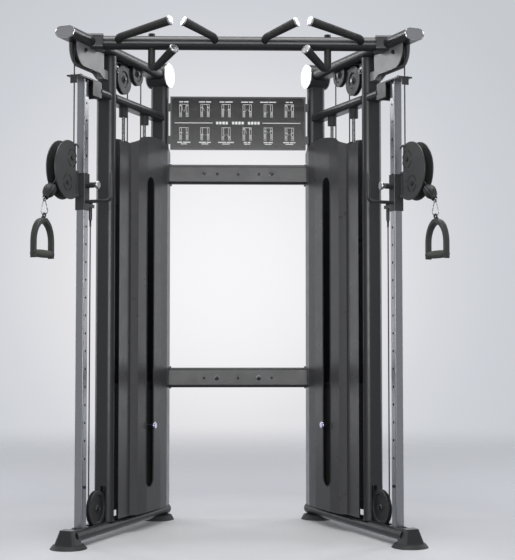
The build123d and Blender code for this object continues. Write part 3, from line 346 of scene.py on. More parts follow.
NODE_MATERIALS = {
    FRAME: ("base_tubes", "uprights", "top_tubes", "mid_rails", "top_crossbar", "crossbeams"),
    PLATES: ("pulley_plates",),
    CARRIAGE: ("rail_brackets", "carriage_sleeve"),
    CHEEKS: ("swivel_housing",),
    COVERS: ("inner_shrouds", "outer_shrouds"),
    BOARD_FRAME: ("sign_frame",),
    BOARD: ("sign_panel",),
    RAILS: ("carriage_rails",),
    RODS: ("guide_rods",),
    CAPS: ("end_caps",),
    DARK_BOLT: ("frame_bolts", "pulley_axles"),
    SOFT_GRIP: ("pull_up_handles",),
    FEET: ("foot_pads", "rod_collars"),
    WEIGHTS: ("lower_weight_plates", "upper_weight_plates", "stack_head"),
    WHEELS: ("front_pulley", "mid_pulley", "rear_pulley", "upright_pulley", "base_pulley",
             "swivel_pulley_upper", "swivel_pulley_lower", "stack_pulley"),
    KNOB: ("pull_pin",),
    KNOB_CAP: ("selector_pin",),
}


def paint_nodes():
    """Give each CAD node its material, on its object's slots."""
    for material, names in NODE_MATERIALS.items():
        for name in names:
            for full in (name, name + "_left", name + "_right"):
                node = frame["nodes"].get(full)
                if node:
                    for place in node.material_slots:
                        place.link = "OBJECT"
                        place.material = material


# --- shapes: each is (vertices, faces), in world coordinates of the left tower ----------------


def merge(*shapes):
    vertices, faces = [], []
    for more_vertices, more_faces in shapes:
        first = len(vertices)
        vertices += more_vertices
        faces += [tuple(first + corner for corner in face) for face in more_faces]
    return vertices, faces


def skin(rings, closed=False, capped=True):
    """Faces between rings that have the same number of points."""
    count, size = len(rings), len(rings[0])
    vertices = [point for ring in rings for point in ring]
    faces = []
    for i in range(count if closed else count - 1):
        a, b = i * size, (i + 1) % count * size
        faces += [(a + j, a + (j + 1) % size, b + (j + 1) % size, b + j) for j in range(size)]
    if capped and not closed:
        faces += [tuple(range(size)), tuple(range((count - 1) * size, count * size))]
    return vertices, faces


def oval(width, height, segments=12):
    """Points of an ellipse, as (sideways, normal) offsets."""
    angles = [2 * pi * k / segments for k in range(segments)]
    return [(width * cos(angle), height * sin(angle)) for angle in angles]


def rounded(width, height, radius, steps=4):
    """Points of a rounded rectangle, from its corner arcs."""
    points = []
    for turn, (x, y) in enumerate(((1, 1), (-1, 1), (-1, -1), (1, -1))):
        for k in range(steps + 1):
            angle = pi / 2 * (turn + k / steps)
            points.append((
                x * (width / 2 - radius) + radius * cos(angle),
                y * (height / 2 - radius) + radius * sin(angle),
            ))
    return points


def sweep(points, section, normal, closed=False, scale=None):
    """A section swept along a path that lies in the plane with the given normal."""
    rings, count = [], len(points)
    for i, point in enumerate(points):
        before = points[i - 1] if i or closed else point
        after = points[(i + 1) % count] if i < count - 1 or closed else point
        along = (after - before).normalized()
        aside = along.cross(normal).normalized()
        size = scale(i / (count - 1)) if scale else 1.0
        rings.append([point + (aside * x + normal * y) * size for x, y in section])
    return skin(rings, closed)


def lathe(profile, origin, axis, segments=40, flutes=0, flute_depth=0.0):
    """A profile of (height, radius) pairs turned about an axis, with optional flutes along it."""
    side = axis.orthogonal().normalized()
    other = axis.cross(side).normalized()
    rings = []
    for height, radius in profile:
        ring = []
        for k in range(segments):
            angle = 2 * pi * k / segments
            reach = radius * (1 - flute_depth * (0.5 + 0.5 * cos(flutes * angle))) if flutes else radius
            ring.append(origin + axis * height + (side * cos(angle) + other * sin(angle)) * reach)
        rings.append(ring)
    return skin(rings)


def plate(centre, across, upward, width, height, depth, radius, bevel, steps=4):
    """A rounded plate with chamfered edges; it grows from centre along across x upward."""
    out = across.cross(upward).normalized()
    rings = []
    for inset, lift in ((bevel, 0), (0, bevel), (0, depth - bevel), (bevel, depth)):
        outline = rounded(width - 2 * inset, height - 2 * inset, max(radius - inset, 1e-4), steps)
        rings.append([centre + across * x + upward * y + out * lift for x, y in outline])
    return skin(rings)


def arc(centre, x_dir, y_dir, radius, start, end, steps):
    """Points of an arc, angles in degrees."""
    angles = [radians(start + (end - start) * k / steps) for k in range(steps + 1)]
    return [centre + (x_dir * cos(angle) + y_dir * sin(angle)) * radius for angle in angles]


def straight(start, end, steps):
    return [start.lerp(end, k / steps) for k in range(steps + 1)]


def filleted(corners, radius, steps=10):
    """A path through corners, each one rounded to the radius."""
    path = [corners[0]]
    for before, corner, after in zip(corners, corners[1:], corners[2:]):
        back, on = (before - corner).normalized(), (after - corner).normalized()
        half = back.angle(on) / 2
        centre = corner + (back + on).normalized() * radius / sin(half)
        first = corner + back * radius / tan(half) - centre
        turns = [(pi - 2 * half) * k / steps for k in range(steps + 1)]
        path += [centre + first * cos(turn) - back * radius * sin(turn) for turn in turns]
    return path + [corners[-1]]


def finer(path, step):
    """The same path with points no further apart than about one step."""
    made = [path[0]]
    for first, second in zip(path, path[1:]):
        made += straight(first, second, max(1, round((second - first).length / step)))[1:]
    return made


def tube(path, radius_at, segments=32):
    """A round bar along any path; radius_at gives its radius at a distance from the start."""
    rings, side, run = [], None, 0.0
    for i, point in enumerate(path):
        along = (path[min(i + 1, len(path) - 1)] - path[max(i - 1, 0)]).normalized()
        side = (side - along * side.dot(along)).normalized() if side else along.orthogonal().normalized()
        other = along.cross(side)
        run += (point - path[i - 1]).length if i else 0.0
        angles = [2 * pi * k / segments for k in range(segments)]
        rings.append([point + (side * cos(angle) + other * sin(angle)) * radius_at(run) for angle in angles])
    return skin(rings)


def mirrored(point):
    return Vector((-point[0], point[1], point[2]))


def piece(name, shape, body, material, side=None, stands_for=(), blend=None, crease=38):
    """Make one piece, on the left as drawn or on the right mirrored, riding on a body; with a blend, it is
    baked in place and rides on none.
    """
    vertices, faces = shape
    if side == "right":
        vertices = [mirrored(point) for point in vertices]
    mesh = bpy.data.meshes.new(name)
    mesh.from_pydata(vertices, [], faces)
    work = bmesh.new()
    work.from_mesh(mesh)
    bmesh.ops.recalc_face_normals(work, faces=work.faces)
    work.to_mesh(mesh)
    work.free()
    mesh.polygons.foreach_set("use_smooth", [True] * len(mesh.polygons))
    mesh.set_sharp_from_angle(angle=radians(crease))
    mesh.materials.append(material)
    made = bpy.data.objects.new(f"{name}_{side}" if side else name, mesh)
    bpy.context.scene.collection.objects.link(made)

    def full(body_name):
        return f"{body_name}_{side}" if side and body_name != "root" else body_name

    if blend:
        second, start, end = blend
        if side == "right":
            start, end = mirrored(start), mirrored(end)
        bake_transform(made)
    else:
        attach(made, full(body))
    if stands_for:
        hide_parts(*(f"{node}_{side}" if side else node for node in stands_for))
    return made


# --- cables -----------------------------------------------------------------------------------


def on_wheel(disc, angle, plane_t):
    s, z, groove = disc
    return spot(s + groove * cos(radians(angle)), plane_t, z + groove * sin(radians(angle)))


def tangent_angles(first, second, first_side, second_side):
    """Angles on two pulleys where a straight cable leaves the first and meets the second."""
    ds, dz = second[0] - first[0], second[1] - first[1]
    span = hypot(ds, dz)
    along = (second[2] * second_side - first[2] * first_side) / span
    across = sqrt(1 - along * along)
    ns, nz = -along * ds / span - across * dz / span, -along * dz / span + across * ds / span
    return [degrees(atan2(nz * side, ns * side)) for side in (first_side, second_side)]


def wrap(disc, plane_t, start, end):
    """The cable's arc on a pulley."""
    s, z, groove = disc
    return arc(spot(s, plane_t, z), BACK, UP, groove, start, end, 28)


def cord_shape(points, normal=INWARD):
    kept = [points[0]]
    kept += [point for point in points[1:] if (point - kept[-1]).length > 1e-5]
    return sweep(kept, oval(CABLE_RADIUS, CABLE_RADIUS, 10), normal)


EXIT_ANGLE = 135.0            # where the cable leaves the lower swivel pulley
STACK_GROOVE = 0.0588069
ANCHOR = spot(0.0625, PLANE_B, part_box("carriage_sleeve_left")[0].z)


def add_cables(side):
    upper_angle, lower_angle = tangent_angles(UPPER, LOWER, -1, 1)
    front_angle, mid_angle = tangent_angles(FRONT, MID, 1, 1)
    rear_angle, upright_angle = tangent_angles(REAR, UPRIGHT, -1, -1)
    across_stack = STACK_AXIS.cross(UP).normalized()
    near = STACK - across_stack * STACK_GROOVE
    far = STACK + across_stack * STACK_GROOVE
    top_a, top_b = on_wheel(MID, 0, PLANE_A), on_wheel(REAR, 0, PLANE_B)
    fall_a = Vector((top_a.x, top_a.y, STACK.z))
    fall_b = Vector((top_b.x, top_b.y, STACK.z))
    drop_top, drop_low = on_wheel(FRONT, 180, PLANE_A), on_wheel(UPPER, 0, PLANE_A)
    exit_point = on_wheel(LOWER, EXIT_ANGLE, PLANE_A)
    ball_start = exit_point + PULL * 0.078
    foot = on_wheel(BASE, 180, PLANE_B)

    head = wrap(FRONT, PLANE_A, 180, front_angle) + wrap(MID, PLANE_A, mid_angle, 0)
    lift = wrap(REAR, PLANE_B, 0, rear_angle)
    lift += wrap(UPRIGHT, PLANE_B, upright_angle % 360, 180) + wrap(BASE, PLANE_B, 0, -180)
    swivel = wrap(UPPER, PLANE_A, 360, upper_angle % 360) + wrap(LOWER, PLANE_A, lower_angle, EXIT_ANGLE)
    stack_arc = arc(STACK, across_stack, UP, STACK_GROOVE, 0, -180, 28)
    if (stack_arc[-1] - near).length > 0.01 or (stack_arc[0] - far).length > 0.01:
        raise ValueError("the stack pulley's arc doesn't meet the falls")

    runs = (
        ("cable_over_head_pulleys", head, "root", None),
        ("cable_down_the_upright", lift, "root", None),
        ("cable_round_swivel", swivel, "swivel", None),
        ("cable_front_drop", straight(drop_top, drop_low, 40), "root", ("carriage", drop_top, drop_low)),
        ("cable_to_ball", straight(exit_point, ball_start, 24), "swivel",
         ("cable_end", exit_point, ball_start)),
        ("cable_front_fall", straight(top_a, fall_a, 40), "root", ("stack", top_a, fall_a)),
        ("cable_rear_fall", straight(top_b, fall_b, 40), "root", ("stack", top_b, fall_b)),
        ("cable_to_carriage", straight(foot, ANCHOR, 40), "root", ("carriage", foot, ANCHOR)),
    )
    for name, points, body, blend in runs:
        piece(name, cord_shape(points), body, CABLE, side, ("cable",), blend)
    under = sweep(stack_arc, oval(CABLE_RADIUS, CABLE_RADIUS, 10), STACK_AXIS)
    piece("cable_under_stack_pulley", under, "stack", CABLE, side, ("cable",))
    # Swaged terminal where the cable ends on the carriage's threaded stem.
    terminal = [(0, 0.0035), (0.001, 0.0045), (0.024, 0.0045), (0.026, 0.006), (0.030, 0.006), (0.031, 0.005)]
    collar = lathe(terminal, ANCHOR - UP * 0.031, UP, 20)
    piece("cable_terminal", collar, "carriage", DARK_BOLT, side)


# --- ball, snap hook and stirrup --------------------------------------------------------------


def add_ball(side):
    start = on_wheel(LOWER, EXIT_ANGLE, PLANE_A) + PULL * 0.076
    length, widest = 0.084, 0.0285
    outline = [(0, 0.004), (0, 0.010), (0.0015, 0.0135), (0.006, 0.0165)]
    for k in range(1, 24):
        h = k / 24
        radius = 0.0160 + (widest - 0.0160) * sin(pi * h) ** 0.75 - 0.0030 * h
        outline.append((0.006 + h * (length - 0.018), radius))
    # The far end is a flat cup that holds the eye.
    outline += [(length - 0.010, 0.0128), (length - 0.0015, 0.0128), (length, 0.0118),
                (length - 0.004, 0.0095), (length - 0.004, 0.003)]
    body = lathe(outline, start, PULL, 60, 10, 0.10)
    neck = lathe([(-0.006, 0.0042), (-0.005, 0.0062), (0.001, 0.0072)], start, PULL, 24)
    eye = start + PULL * (length + 0.009)
    aside = PULL.cross(INWARD).normalized()
    ring = [eye + (PULL * cos(2 * pi * k / 28) + aside * sin(2 * pi * k / 28)) * 0.0078 for k in range(28)]
    loop = sweep(ring, oval(0.0021, 0.0029, 12), INWARD, closed=True)
    shank = lathe([(-0.0035, 0.004), (0.0025, 0.004)], start + PULL * length, PULL, 16)
    piece("cable_ball", merge(body, neck), "cable_end", BALL, side, ("cable_stop_ball",))
    piece("ball_eye", merge(loop, shank), "cable_end", ZINC, side, ("cable_stop_ball",))


def add_snap_hook(side):
    """A pear-shaped sprung hook: narrow at the ball, wide at the handle, with a gate on one side."""
    wire, low_radius, top_radius, tall = 0.0019, 0.0150, 0.0050, 0.060
    low = HANG + UP * low_radius
    top = HANG + UP * (tall - top_radius)
    gap = (top - low).length
    lean = degrees(atan2(low_radius - top_radius, gap))
    right_low = arc(low, INWARD, UP, low_radius, -90, lean, 14)
    right_top = arc(top, INWARD, UP, top_radius, lean, 180 - lean, 16)
    left_low = arc(low, INWARD, UP, low_radius, 180 - lean, 270, 14)[:-1]
    loop = sweep(right_low + right_top + left_low, oval(wire, wire, 12), BACK, closed=True)
    gate = lathe(
        [(0, 0.0014), (0.001, 0.0021), (0.026, 0.0021), (0.027, 0.0014)],
        right_low[-1].lerp(right_top[0], 0.12), (right_top[0] - right_low[-1]).normalized(), 16,
    )
    rivet_outline = [(-0.004, 0.001), (-0.0035, 0.0018), (0.0035, 0.0018), (0.004, 0.001)]
    rivet = lathe(rivet_outline, right_low[-1], BACK, 12)
    piece("sprung_hook", loop, "cable_end", HOOK_STEEL, side, ("snap_hook",))
    piece("hook_gate", merge(gate, rivet), "cable_end", HOOK_STEEL, side, ("snap_hook",))


OUTER_ARCH = (0.064, 0.099)   # half the width and the height of the arch's outline
INNER_ARCH = (0.052, 0.077)
SPRING_DROP = 0.110           # where the arms start to curve in, below the eye
GRIP_DROP = 0.157             # the grip bar, below the eye
STIRRUP_DROP = 0.175          # the lower ends of the arms
ARM_ENDS = (                  # rounding of an arm's end, and its height below the eye
    (0.0035, STIRRUP_DROP), (0.0012, STIRRUP_DROP - 0.0012), (0.0, STIRRUP_DROP - 0.004), (0.0, 0.150),
    (0.0, 0.130),
)


def add_stirrup(side):
    eye = HANG - UP * 0.002
    depth = 0.028

    def at(x, drop):
        return eye + ACROSS * x - UP * drop + LEAN * max(0.0, min(1.0, drop / 0.02))

    # The arms rise straight, then close in as an arch that is thickest at its crown.
    pairs = [(OUTER_ARCH[0] - inset, INNER_ARCH[0] + inset, drop) for inset, drop in ARM_ENDS]
    rings = []
    for way in (-1, 1):
        legs = [(way * outer, drop, way * inner, drop) for outer, inner, drop in pairs]
        if way < 0:
            rings += legs
            for k in range(41):
                angle = pi * k / 40
                rings.append((-OUTER_ARCH[0] * cos(angle), SPRING_DROP - OUTER_ARCH[1] * sin(angle),
                              -INNER_ARCH[0] * cos(angle), SPRING_DROP - INNER_ARCH[1] * sin(angle)))
        else:
            rings += legs[::-1]
    loops = []
    for outer_x, outer_drop, inner_x, inner_drop in rings:
        outer, inner = at(outer_x, outer_drop), at(inner_x, inner_drop)
        middle, reach = (outer + inner) / 2, outer - inner
        section = rounded(reach.length, depth, min(0.0045, reach.length * 0.35))
        loops.append([middle + reach.normalized() * x + FACING * y for x, y in section])
    strap = skin(loops)
    boss = [(0, 0.004), (0.0015, 0.0135), (0.006, 0.0152), (0.012, 0.0152), (0.0145, 0.0135),
            (0.0145, 0.004)]
    bosses = []
    for way in (-1, 1):
        bosses.append(lathe(boss, at(way * 0.0650, GRIP_DROP), ACROSS * -way, 36))
    crown = sweep(
        [at(0, 0.004), at(0, 0.010), at(0, 0.016), at(0, 0.024)], rounded(0.021, 0.0078, 0.003), FACING,
        scale=lambda part: 0.86 + 0.5 * part,
    )
    ring = [eye + (ACROSS * cos(2 * pi * k / 32) + UP * sin(2 * pi * k / 32)) * 0.0083 for k in range(32)]
    loop = sweep(ring, oval(0.0027, 0.0039, 12), FACING, closed=True)
    frame_shape = merge(strap, *bosses)
    piece("stirrup_frame", frame_shape, "stirrup", HANDLE, side, ("stirrup_handle",))
    piece("stirrup_crown", merge(loop, crown), "stirrup", HANDLE, side, ("stirrup_handle",))
    # Grip sleeve with shallow finger ribs.
    ribs = [(0, 0.006), (0.0005, 0.0142)]
    count = 18
    for k in range(count):
        h = 0.002 + k * (0.100 - 0.004) / count
        full = 0.0152 + 0.0014 * sin(pi * k / (count - 1))
        ribs += [(h, full - 0.0002), (h + 0.0032, full),
                 (h + 0.0040, full - 0.0010), (h + 0.0048, full - 0.0010)]
    ribs += [(0.0995, 0.0142), (0.100, 0.006)]
    sleeve = lathe(ribs, at(-0.050, GRIP_DROP), ACROSS, 40)
    piece("stirrup_grip", sleeve, "stirrup", HANDLE_GRIP, side, ("stirrup_handle",))


# --- swivel: relief marks, rims and bolts -----------------------------------------------------
CHEEK_RADIUS = 0.122
CHEEK_CENTRE = (-0.140, 1.577)
CHEEK_FACE = 0.0215           # outer face of a cheek from the cable plane
GUARD_T = 0.0195              # keeps the guard beside the flap of the rail's head bracket
GUARD_ROUTE = ((-0.098, 1.690), (-0.088, 1.689), (-0.076, 1.684), (-0.070, 1.680))


def add_swivel_details(side):
    marks, rims, bolts = [], [], []
    for way in (-1, 1):
        face = PLANE_A + way * (CHEEK_FACE + 0.0002)
        for disc, radius in ((UPPER, 0.036), (LOWER, 0.034)):
            centre = spot(disc[0], face, disc[1])
            for start in (12, 102, 192, 282):
                path = arc(centre, BACK, UP, radius, start, start + 66, 14)
                marks.append(sweep(path, rounded(0.0062, 0.0008, 0.0003), INWARD))
            marks.append(lathe([(0, 0.0115), (0.0004 * way, 0.0115)], centre, INWARD, 28))
            bolt = [(0, 0.0082), (0.0035, 0.0082), (0.0045, 0.0072), (0.0045, 0.0044), (0.0025, 0.0042)]
            bolts.append(lathe(bolt, centre, INWARD * way, 24))
        # Rolled rim round the cheek, open at the straight rear edge.
        middle = spot(CHEEK_CENTRE[0], PLANE_A + way * (CHEEK_FACE - 0.002), CHEEK_CENTRE[1])
        half = degrees(atan2(0.1098, -0.087 - CHEEK_CENTRE[0]))
        path = arc(middle, BACK, UP, CHEEK_RADIUS - 0.0002, half, 360 - half, 90)
        rims.append(sweep(path, oval(0.0020, 0.0024, 10), INWARD))
    # Small cable guard over the top of the upper pulley.
    guard_path = [spot(s, GUARD_T, z) for s, z in GUARD_ROUTE]
    rims.append(sweep(guard_path, rounded(0.009, 0.004, 0.0015), INWARD))
    piece("swivel_relief", merge(*marks), "swivel", RELIEF_AND_SHADE_BLACK, side)
    piece("swivel_rims", merge(*rims), "swivel", CHEEKS, side)
    piece("swivel_bolts", merge(*bolts), "swivel", DARK_BOLT, side)


# --- covers: slot edging ----------------------------------------------------------------------
SLOT_HALF = 0.038
SLOT_LOW, SLOT_HIGH = 0.192, 1.622
STACK_S = 0.5015


def add_slot_edging(side):
    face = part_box("inner_shrouds")
    reach = 0.087             # middle of the cover's sheet beside the slot
    low = spot(STACK_S, reach, SLOT_LOW + SLOT_HALF)
    high = spot(STACK_S, reach, SLOT_HIGH - SLOT_HALF)
    top = arc(high, BACK, UP, SLOT_HALF, 0, 180, 24)
    bottom = arc(low, BACK, UP, SLOT_HALF, 180, 360, 24)
    path = top + straight(top[-1], bottom[0], 30)[1:-1] + bottom + straight(bottom[-1], top[0], 30)[1:-1]
    path = [point for point in path if face[0].z < point.z < face[1].z]
    edging = sweep(path, rounded(0.0036, 0.0060, 0.0016), INWARD, closed=True)
    piece("slot_edging", edging, "root", FEET, side)


# --- pull-up grips ----------------------------------------------------------------------------
GRIPS = (                      # corners of each left-hand handle from its tip, and the bend's radius
    (((-0.302, -0.118, 2.214), (-0.526, -0.004, 2.168), (-0.5235, 0.030, 2.1617)), 0.024),
    (((-0.236, -0.062, 2.224), (-0.108, 0.002, 2.172), (-0.1103, 0.030, 2.1638)), 0.024),
    (((-0.284, -0.068, 2.104), (-0.362, 0.022, 2.046), (-0.384, 0.050, 2.052), (-0.384, 0.050, 2.138)),
     0.014),
)
TIP_RADIUS, ELBOW_RADIUS = 0.0195, 0.0160
CAP_RADIUS = 0.0215
RIB_PITCH = 0.0045


def add_pull_up_grips(side):
    sleeves, caps, necks = [], [], []
    for corners, bend in GRIPS:
        corners = [Vector(corner) + Vector((0, RAIL.y, 0)) for corner in corners]
        path = finer(filleted(corners, bend), RIB_PITCH / 4)
        leg = (corners[1] - corners[0]).length
        whole = sum((second - first).length for first, second in zip(path, path[1:]))

        def radius_at(run):
            radius = TIP_RADIUS + (ELBOW_RADIUS - TIP_RADIUS) * min(1.0, run / leg)
            radius -= 0.0006 if run % RIB_PITCH < RIB_PITCH * 0.3 and 0.004 < run < leg * 0.86 else 0.0
            end = min(run, whole - run)
            return radius - 0.002 * max(0.0, 1 - end / 0.002) ** 2

        sleeves.append(tube(path, radius_at, 36))
        out = (corners[0] - corners[1]).normalized()
        neck = [(-0.001, 0.012), (-0.001, 0.0172), (0.003, 0.0172), (0.003, 0.012)]
        necks.append(lathe(neck, corners[0], out, 40))
        profile = [(0.0020, 0.012), (0.0020, CAP_RADIUS - 0.001), (0.003, CAP_RADIUS),
                   (0.0085, CAP_RADIUS), (0.0100, CAP_RADIUS - 0.0015), (0.0102, CAP_RADIUS - 0.005),
                   (0.0098, 0.006), (0.0096, 0.001)]
        caps.append(lathe(profile, corners[0], out, 48))
    piece("grip_sleeves", merge(*sleeves), "root", SOFT_GRIP, side)
    piece("grip_necks", merge(*necks), "root", PLATES, side)
    piece("chrome_grip_caps", merge(*caps), "root", GRIP_CAP, side)


# --- chart board ------------------------------------------------------------------------------
PRINT_DEEP = 0.0004
ICON_WIDE, ICON_TALL = 0.048, 0.064


def add_board_print():
    low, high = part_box("sign_panel")
    face = low.y - 0.00005
    right, upward = Vector((1, 0, 0)), UP

    def bar(x, z, width, height, radius=None):
        """A printed bar, centred at x, z on the panel."""
        corner = min(width, height) * 0.3 if radius is None else radius
        return plate(Vector((x, face, z)), right, upward, width, height, PRINT_DEEP, corner, 0.0001, 2)

    def slant(x0, z0, x1, z1, width):
        """A printed line from one point to another."""
        a, b = Vector((x0, face, z0)), Vector((x1, face, z1))
        return plate((a + b) / 2, (b - a).normalized(), Vector((0, -1, 0)).cross((b - a).normalized()),
                     (b - a).length, width, PRINT_DEEP, width * 0.3, 0.0001, 2)

    def icon(x, z, kind):
        """A small drawing of the machine: two columns, a top beam, and cables at one of several heights."""
        half, tall = ICON_WIDE / 2, ICON_TALL / 2
        parts = [bar(x, z + tall - 0.002, ICON_WIDE - 0.008, 0.0028)]
        handle_z = z + tall * (0.75 - 0.3 * (kind % 5))
        for way in (-1, 1):
            column = x + way * (half - 0.008)
            parts += [
                bar(column - 0.0045, z, 0.0024, ICON_TALL), bar(column + 0.0045, z, 0.0024, ICON_TALL),
                bar(column, z - tall + 0.0015, 0.0145, 0.0030),
            ]
            parts += [bar(column, z - tall + 0.009 + 0.0052 * k, 0.0062, 0.0030) for k in range(3 + kind % 3)]
            if kind % 3 != 1 or way < 0:
                end_z = z - 0.006 + 0.004 * (kind % 4)
                parts.append(slant(column - way * 0.006, handle_z, x + way * 0.003, end_z, 0.0016))
            parts.append(bar(column, handle_z, 0.0070, 0.0050))
        return merge(*parts)

    columns = [-0.264 + 0.514 * k / 5 for k in range(6)]
    middle_z = (low.z + high.z) / 2
    icons, words = [], []
    for row, z in enumerate((middle_z + 0.061, middle_z - 0.053)):
        for k, x in enumerate(columns):
            icons.append(icon(x, z, k + 6 * row + row))
            caption_z = z + (ICON_TALL / 2 + 0.010) * (1 if row == 0 else -1)
            lengths = ((0.020, 0.022), (0.030, 0.026), (0.024, 0.036),
                       (0.034, 0.020), (0.040, 0.034), (0.016, 0.014))
            first, second = lengths[(k + 2 * row) % 6]
            words += [bar(x - second / 2 - 0.002, caption_z, first, 0.0052),
                      bar(x + first / 2 + 0.002, caption_z, second, 0.0052)]
            if row == 1:
                words.append(bar(x, caption_z - 0.008, 0.030 + 0.004 * (k % 3), 0.0040))
    title = [bar(-0.216, middle_z, 0.184, 0.0034), bar(0.2115, middle_z, 0.185, 0.0034)]
    dot_wide, dot_gap = 0.0118, 0.0155
    dots = [k for k in range(14) if k not in (4, 9)]
    title += [bar(-0.1015 + k * dot_gap, middle_z, dot_wide, 0.0135, 0.0022) for k in dots]
    for name, shape, material in (
        ("board_icons", merge(*icons), PRINT),
        ("board_captions", merge(*words), PRINT_BRIGHT),
        ("board_title_row", merge(*title), PRINT_BRIGHT),
    ):
        piece(name, shape, "root", material)


# --- welds and fasteners ----------------------------------------------------------------------


def bead(centre, x_dir, y_dir, half_wide, half_tall, corner, radius=0.0028):
    """A rippled weld bead round a rounded outline."""
    normal = x_dir.cross(y_dir).normalized()
    outline = rounded(2 * half_wide, 2 * half_tall, corner, 10)
    points = []
    for k, (x, y) in enumerate(outline):
        after_x, after_y = outline[(k + 1) % len(outline)]
        steps = max(1, int(hypot(after_x - x, after_y - y) / 0.004))
        points += [centre + x_dir * (x + (after_x - x) * j / steps) + y_dir * (y + (after_y - y) * j / steps)
                   for j in range(steps)]
    rings, count = [], len(points)
    for i, point in enumerate(points):
        along = (points[(i + 1) % count] - points[i - 1]).normalized()
        aside = along.cross(normal)
        size = radius * (1 + 0.16 * (1 if i % 2 else -1))
        rings.append([point + (aside * x + normal * y) * size for x, y in oval(1, 1, 8)])
    return skin(rings, closed=True)


TUBE_WIDE, TUBE_THIN = 0.090, 0.050
BASE_TOP = 0.072
FRONT_UPRIGHT, REAR_UPRIGHT = 0.220, 0.790


def socket_bolt(centre, axis, radius=0.0075, tall=0.006):
    """A round-headed bolt on a washer, with a black hexagon patch as painted shade in its socket."""
    washer = lathe([(0, radius * 1.45), (0.0014, radius * 1.45), (0.0016, radius * 1.35)], centre, axis, 32)
    dome = [(0.0015, radius), (tall * 0.55, radius), (tall * 0.85, radius * 0.86), (tall, radius * 0.62)]
    head = lathe(dome, centre, axis, 32)
    # The socket is a black patch on the head: painted shade where the hole would be.
    socket = lathe([(tall - 0.0012, radius * 0.5), (tall + 0.0001, radius * 0.5)], centre, axis, 6)
    return merge(washer, head), socket


BEAM_FRONT = RAIL.y + 0.690       # front face of the crossbeams
BEAM_BOLTS = ((1.670, 0.163), (0.6825, 0.101))    # height of each beam, and its larger bolts from the middle


def add_beam_bolts():
    """Button heads in the crossbeams' holes: two large ones and three small ones on each beam."""
    heads, sockets = [], []
    for z, large in BEAM_BOLTS:
        for x in (-0.163, -0.101, 0.0, 0.101, 0.163):
            radius = 0.0085 if abs(x) == large else 0.0050
            head, socket = socket_bolt(Vector((x, BEAM_FRONT, z)), Vector((0, -1, 0)), radius, 0.0045)
            heads.append(head)
            sockets.append(socket)
    piece("beam_bolts", merge(*heads), "root", DARK_BOLT)
    # Black socket patches: painted shade in the sockets.
    piece("beam_bolt_sockets", merge(*sockets), "root", RELIEF_AND_SHADE_BLACK)


def add_stack_shade_sheet(side):
    """Black sheet in front of the rear upright: painted shade at the back of the stack's space."""
    centre = spot(0.742, -0.010, 0.970)
    sheet = plate(centre, INWARD, UP, 0.140, 1.500, 0.003, 0.010, 0.0006)
    piece("stack_shade_sheet", sheet, "root", RELIEF_AND_SHADE_BLACK, side)


def add_fixings(side):
    across, along = INWARD, BACK
    beads = [bead(spot(s, 0, z), across, along, TUBE_WIDE / 2, TUBE_THIN / 2, TUBE_THIN / 2 - 0.0005)
             for s, z in ((FRONT_UPRIGHT, BASE_TOP), (REAR_UPRIGHT, BASE_TOP))]
    beads.append(bead(spot(0, 0, BASE_TOP), across, along, 0.019, 0.019, 0.003, 0.0022))
    for s in (FRONT_UPRIGHT - TUBE_THIN / 2, FRONT_UPRIGHT + TUBE_THIN / 2):
        beads.append(bead(spot(s, 0, 1.950), across, UP, 0.040, 0.020, 0.0195, 0.0022))
    piece("weld_beads", merge(*beads), "root", FRAME, side)
    heads, sockets = [], []
    places = [(spot(REAR_UPRIGHT + ds, 0.051, z + dz), INWARD, 0.0055)
               for z in (1.670, 0.6825) for ds in (-0.023,) for dz in (-0.032, 0.032)]
    places += [(spot(-0.060, t, 1.991), UP, 0.006) for t in (-0.022, 0.022)]
    for centre, axis, radius in places:
        head, socket = socket_bolt(centre, axis, radius)
        heads.append(head)
        sockets.append(socket)
    # Head of the upright pulley's axle, with its washer, on the upright's inner side.
    axle = spot(0.2405, TUBE_WIDE / 2, 2.075)
    axle_head = [(0.0012, 0.0105), (0.0040, 0.0105), (0.0052, 0.0090), (0.0052, 0.001)]
    heads.append(lathe(axle_head, axle, INWARD, 36))
    ring = [(0.0002, 0.006), (0.0002, 0.0145), (0.0012, 0.0145), (0.0014, 0.0138), (0.0014, 0.006)]
    piece("axle_washer", lathe(ring, axle, INWARD, 40), "root", ZINC, side)
    piece("socket_bolts", merge(*heads), "root", DARK_BOLT, side)
    # Black socket patches: painted shade in the sockets.
    piece("bolt_sockets", merge(*sockets), "root", RELIEF_AND_SHADE_BLACK, side)
    # Silver insert on the front end of the top tube, with a bright edge.
    front = spot(-0.1628, 0, 2.156)
    edge = [front + INWARD * x + UP * y for x, y in rounded(TUBE_WIDE - 0.003, TUBE_THIN - 0.003, 0.0232, 12)]
    piece("cap_edge", sweep(edge, oval(0.0013, 0.0013, 8), BACK, closed=True), "root", CHROME, side)


# --- stage, lights and camera -----------------------------------------------------------------
CAMERA_PLACE = Vector((-0.0672, RAIL.y - 5.2757, 0.8773))
CAMERA_UP, CAMERA_RIGHT = radians(2.6604), radians(1.5554)
LENS = 79.2


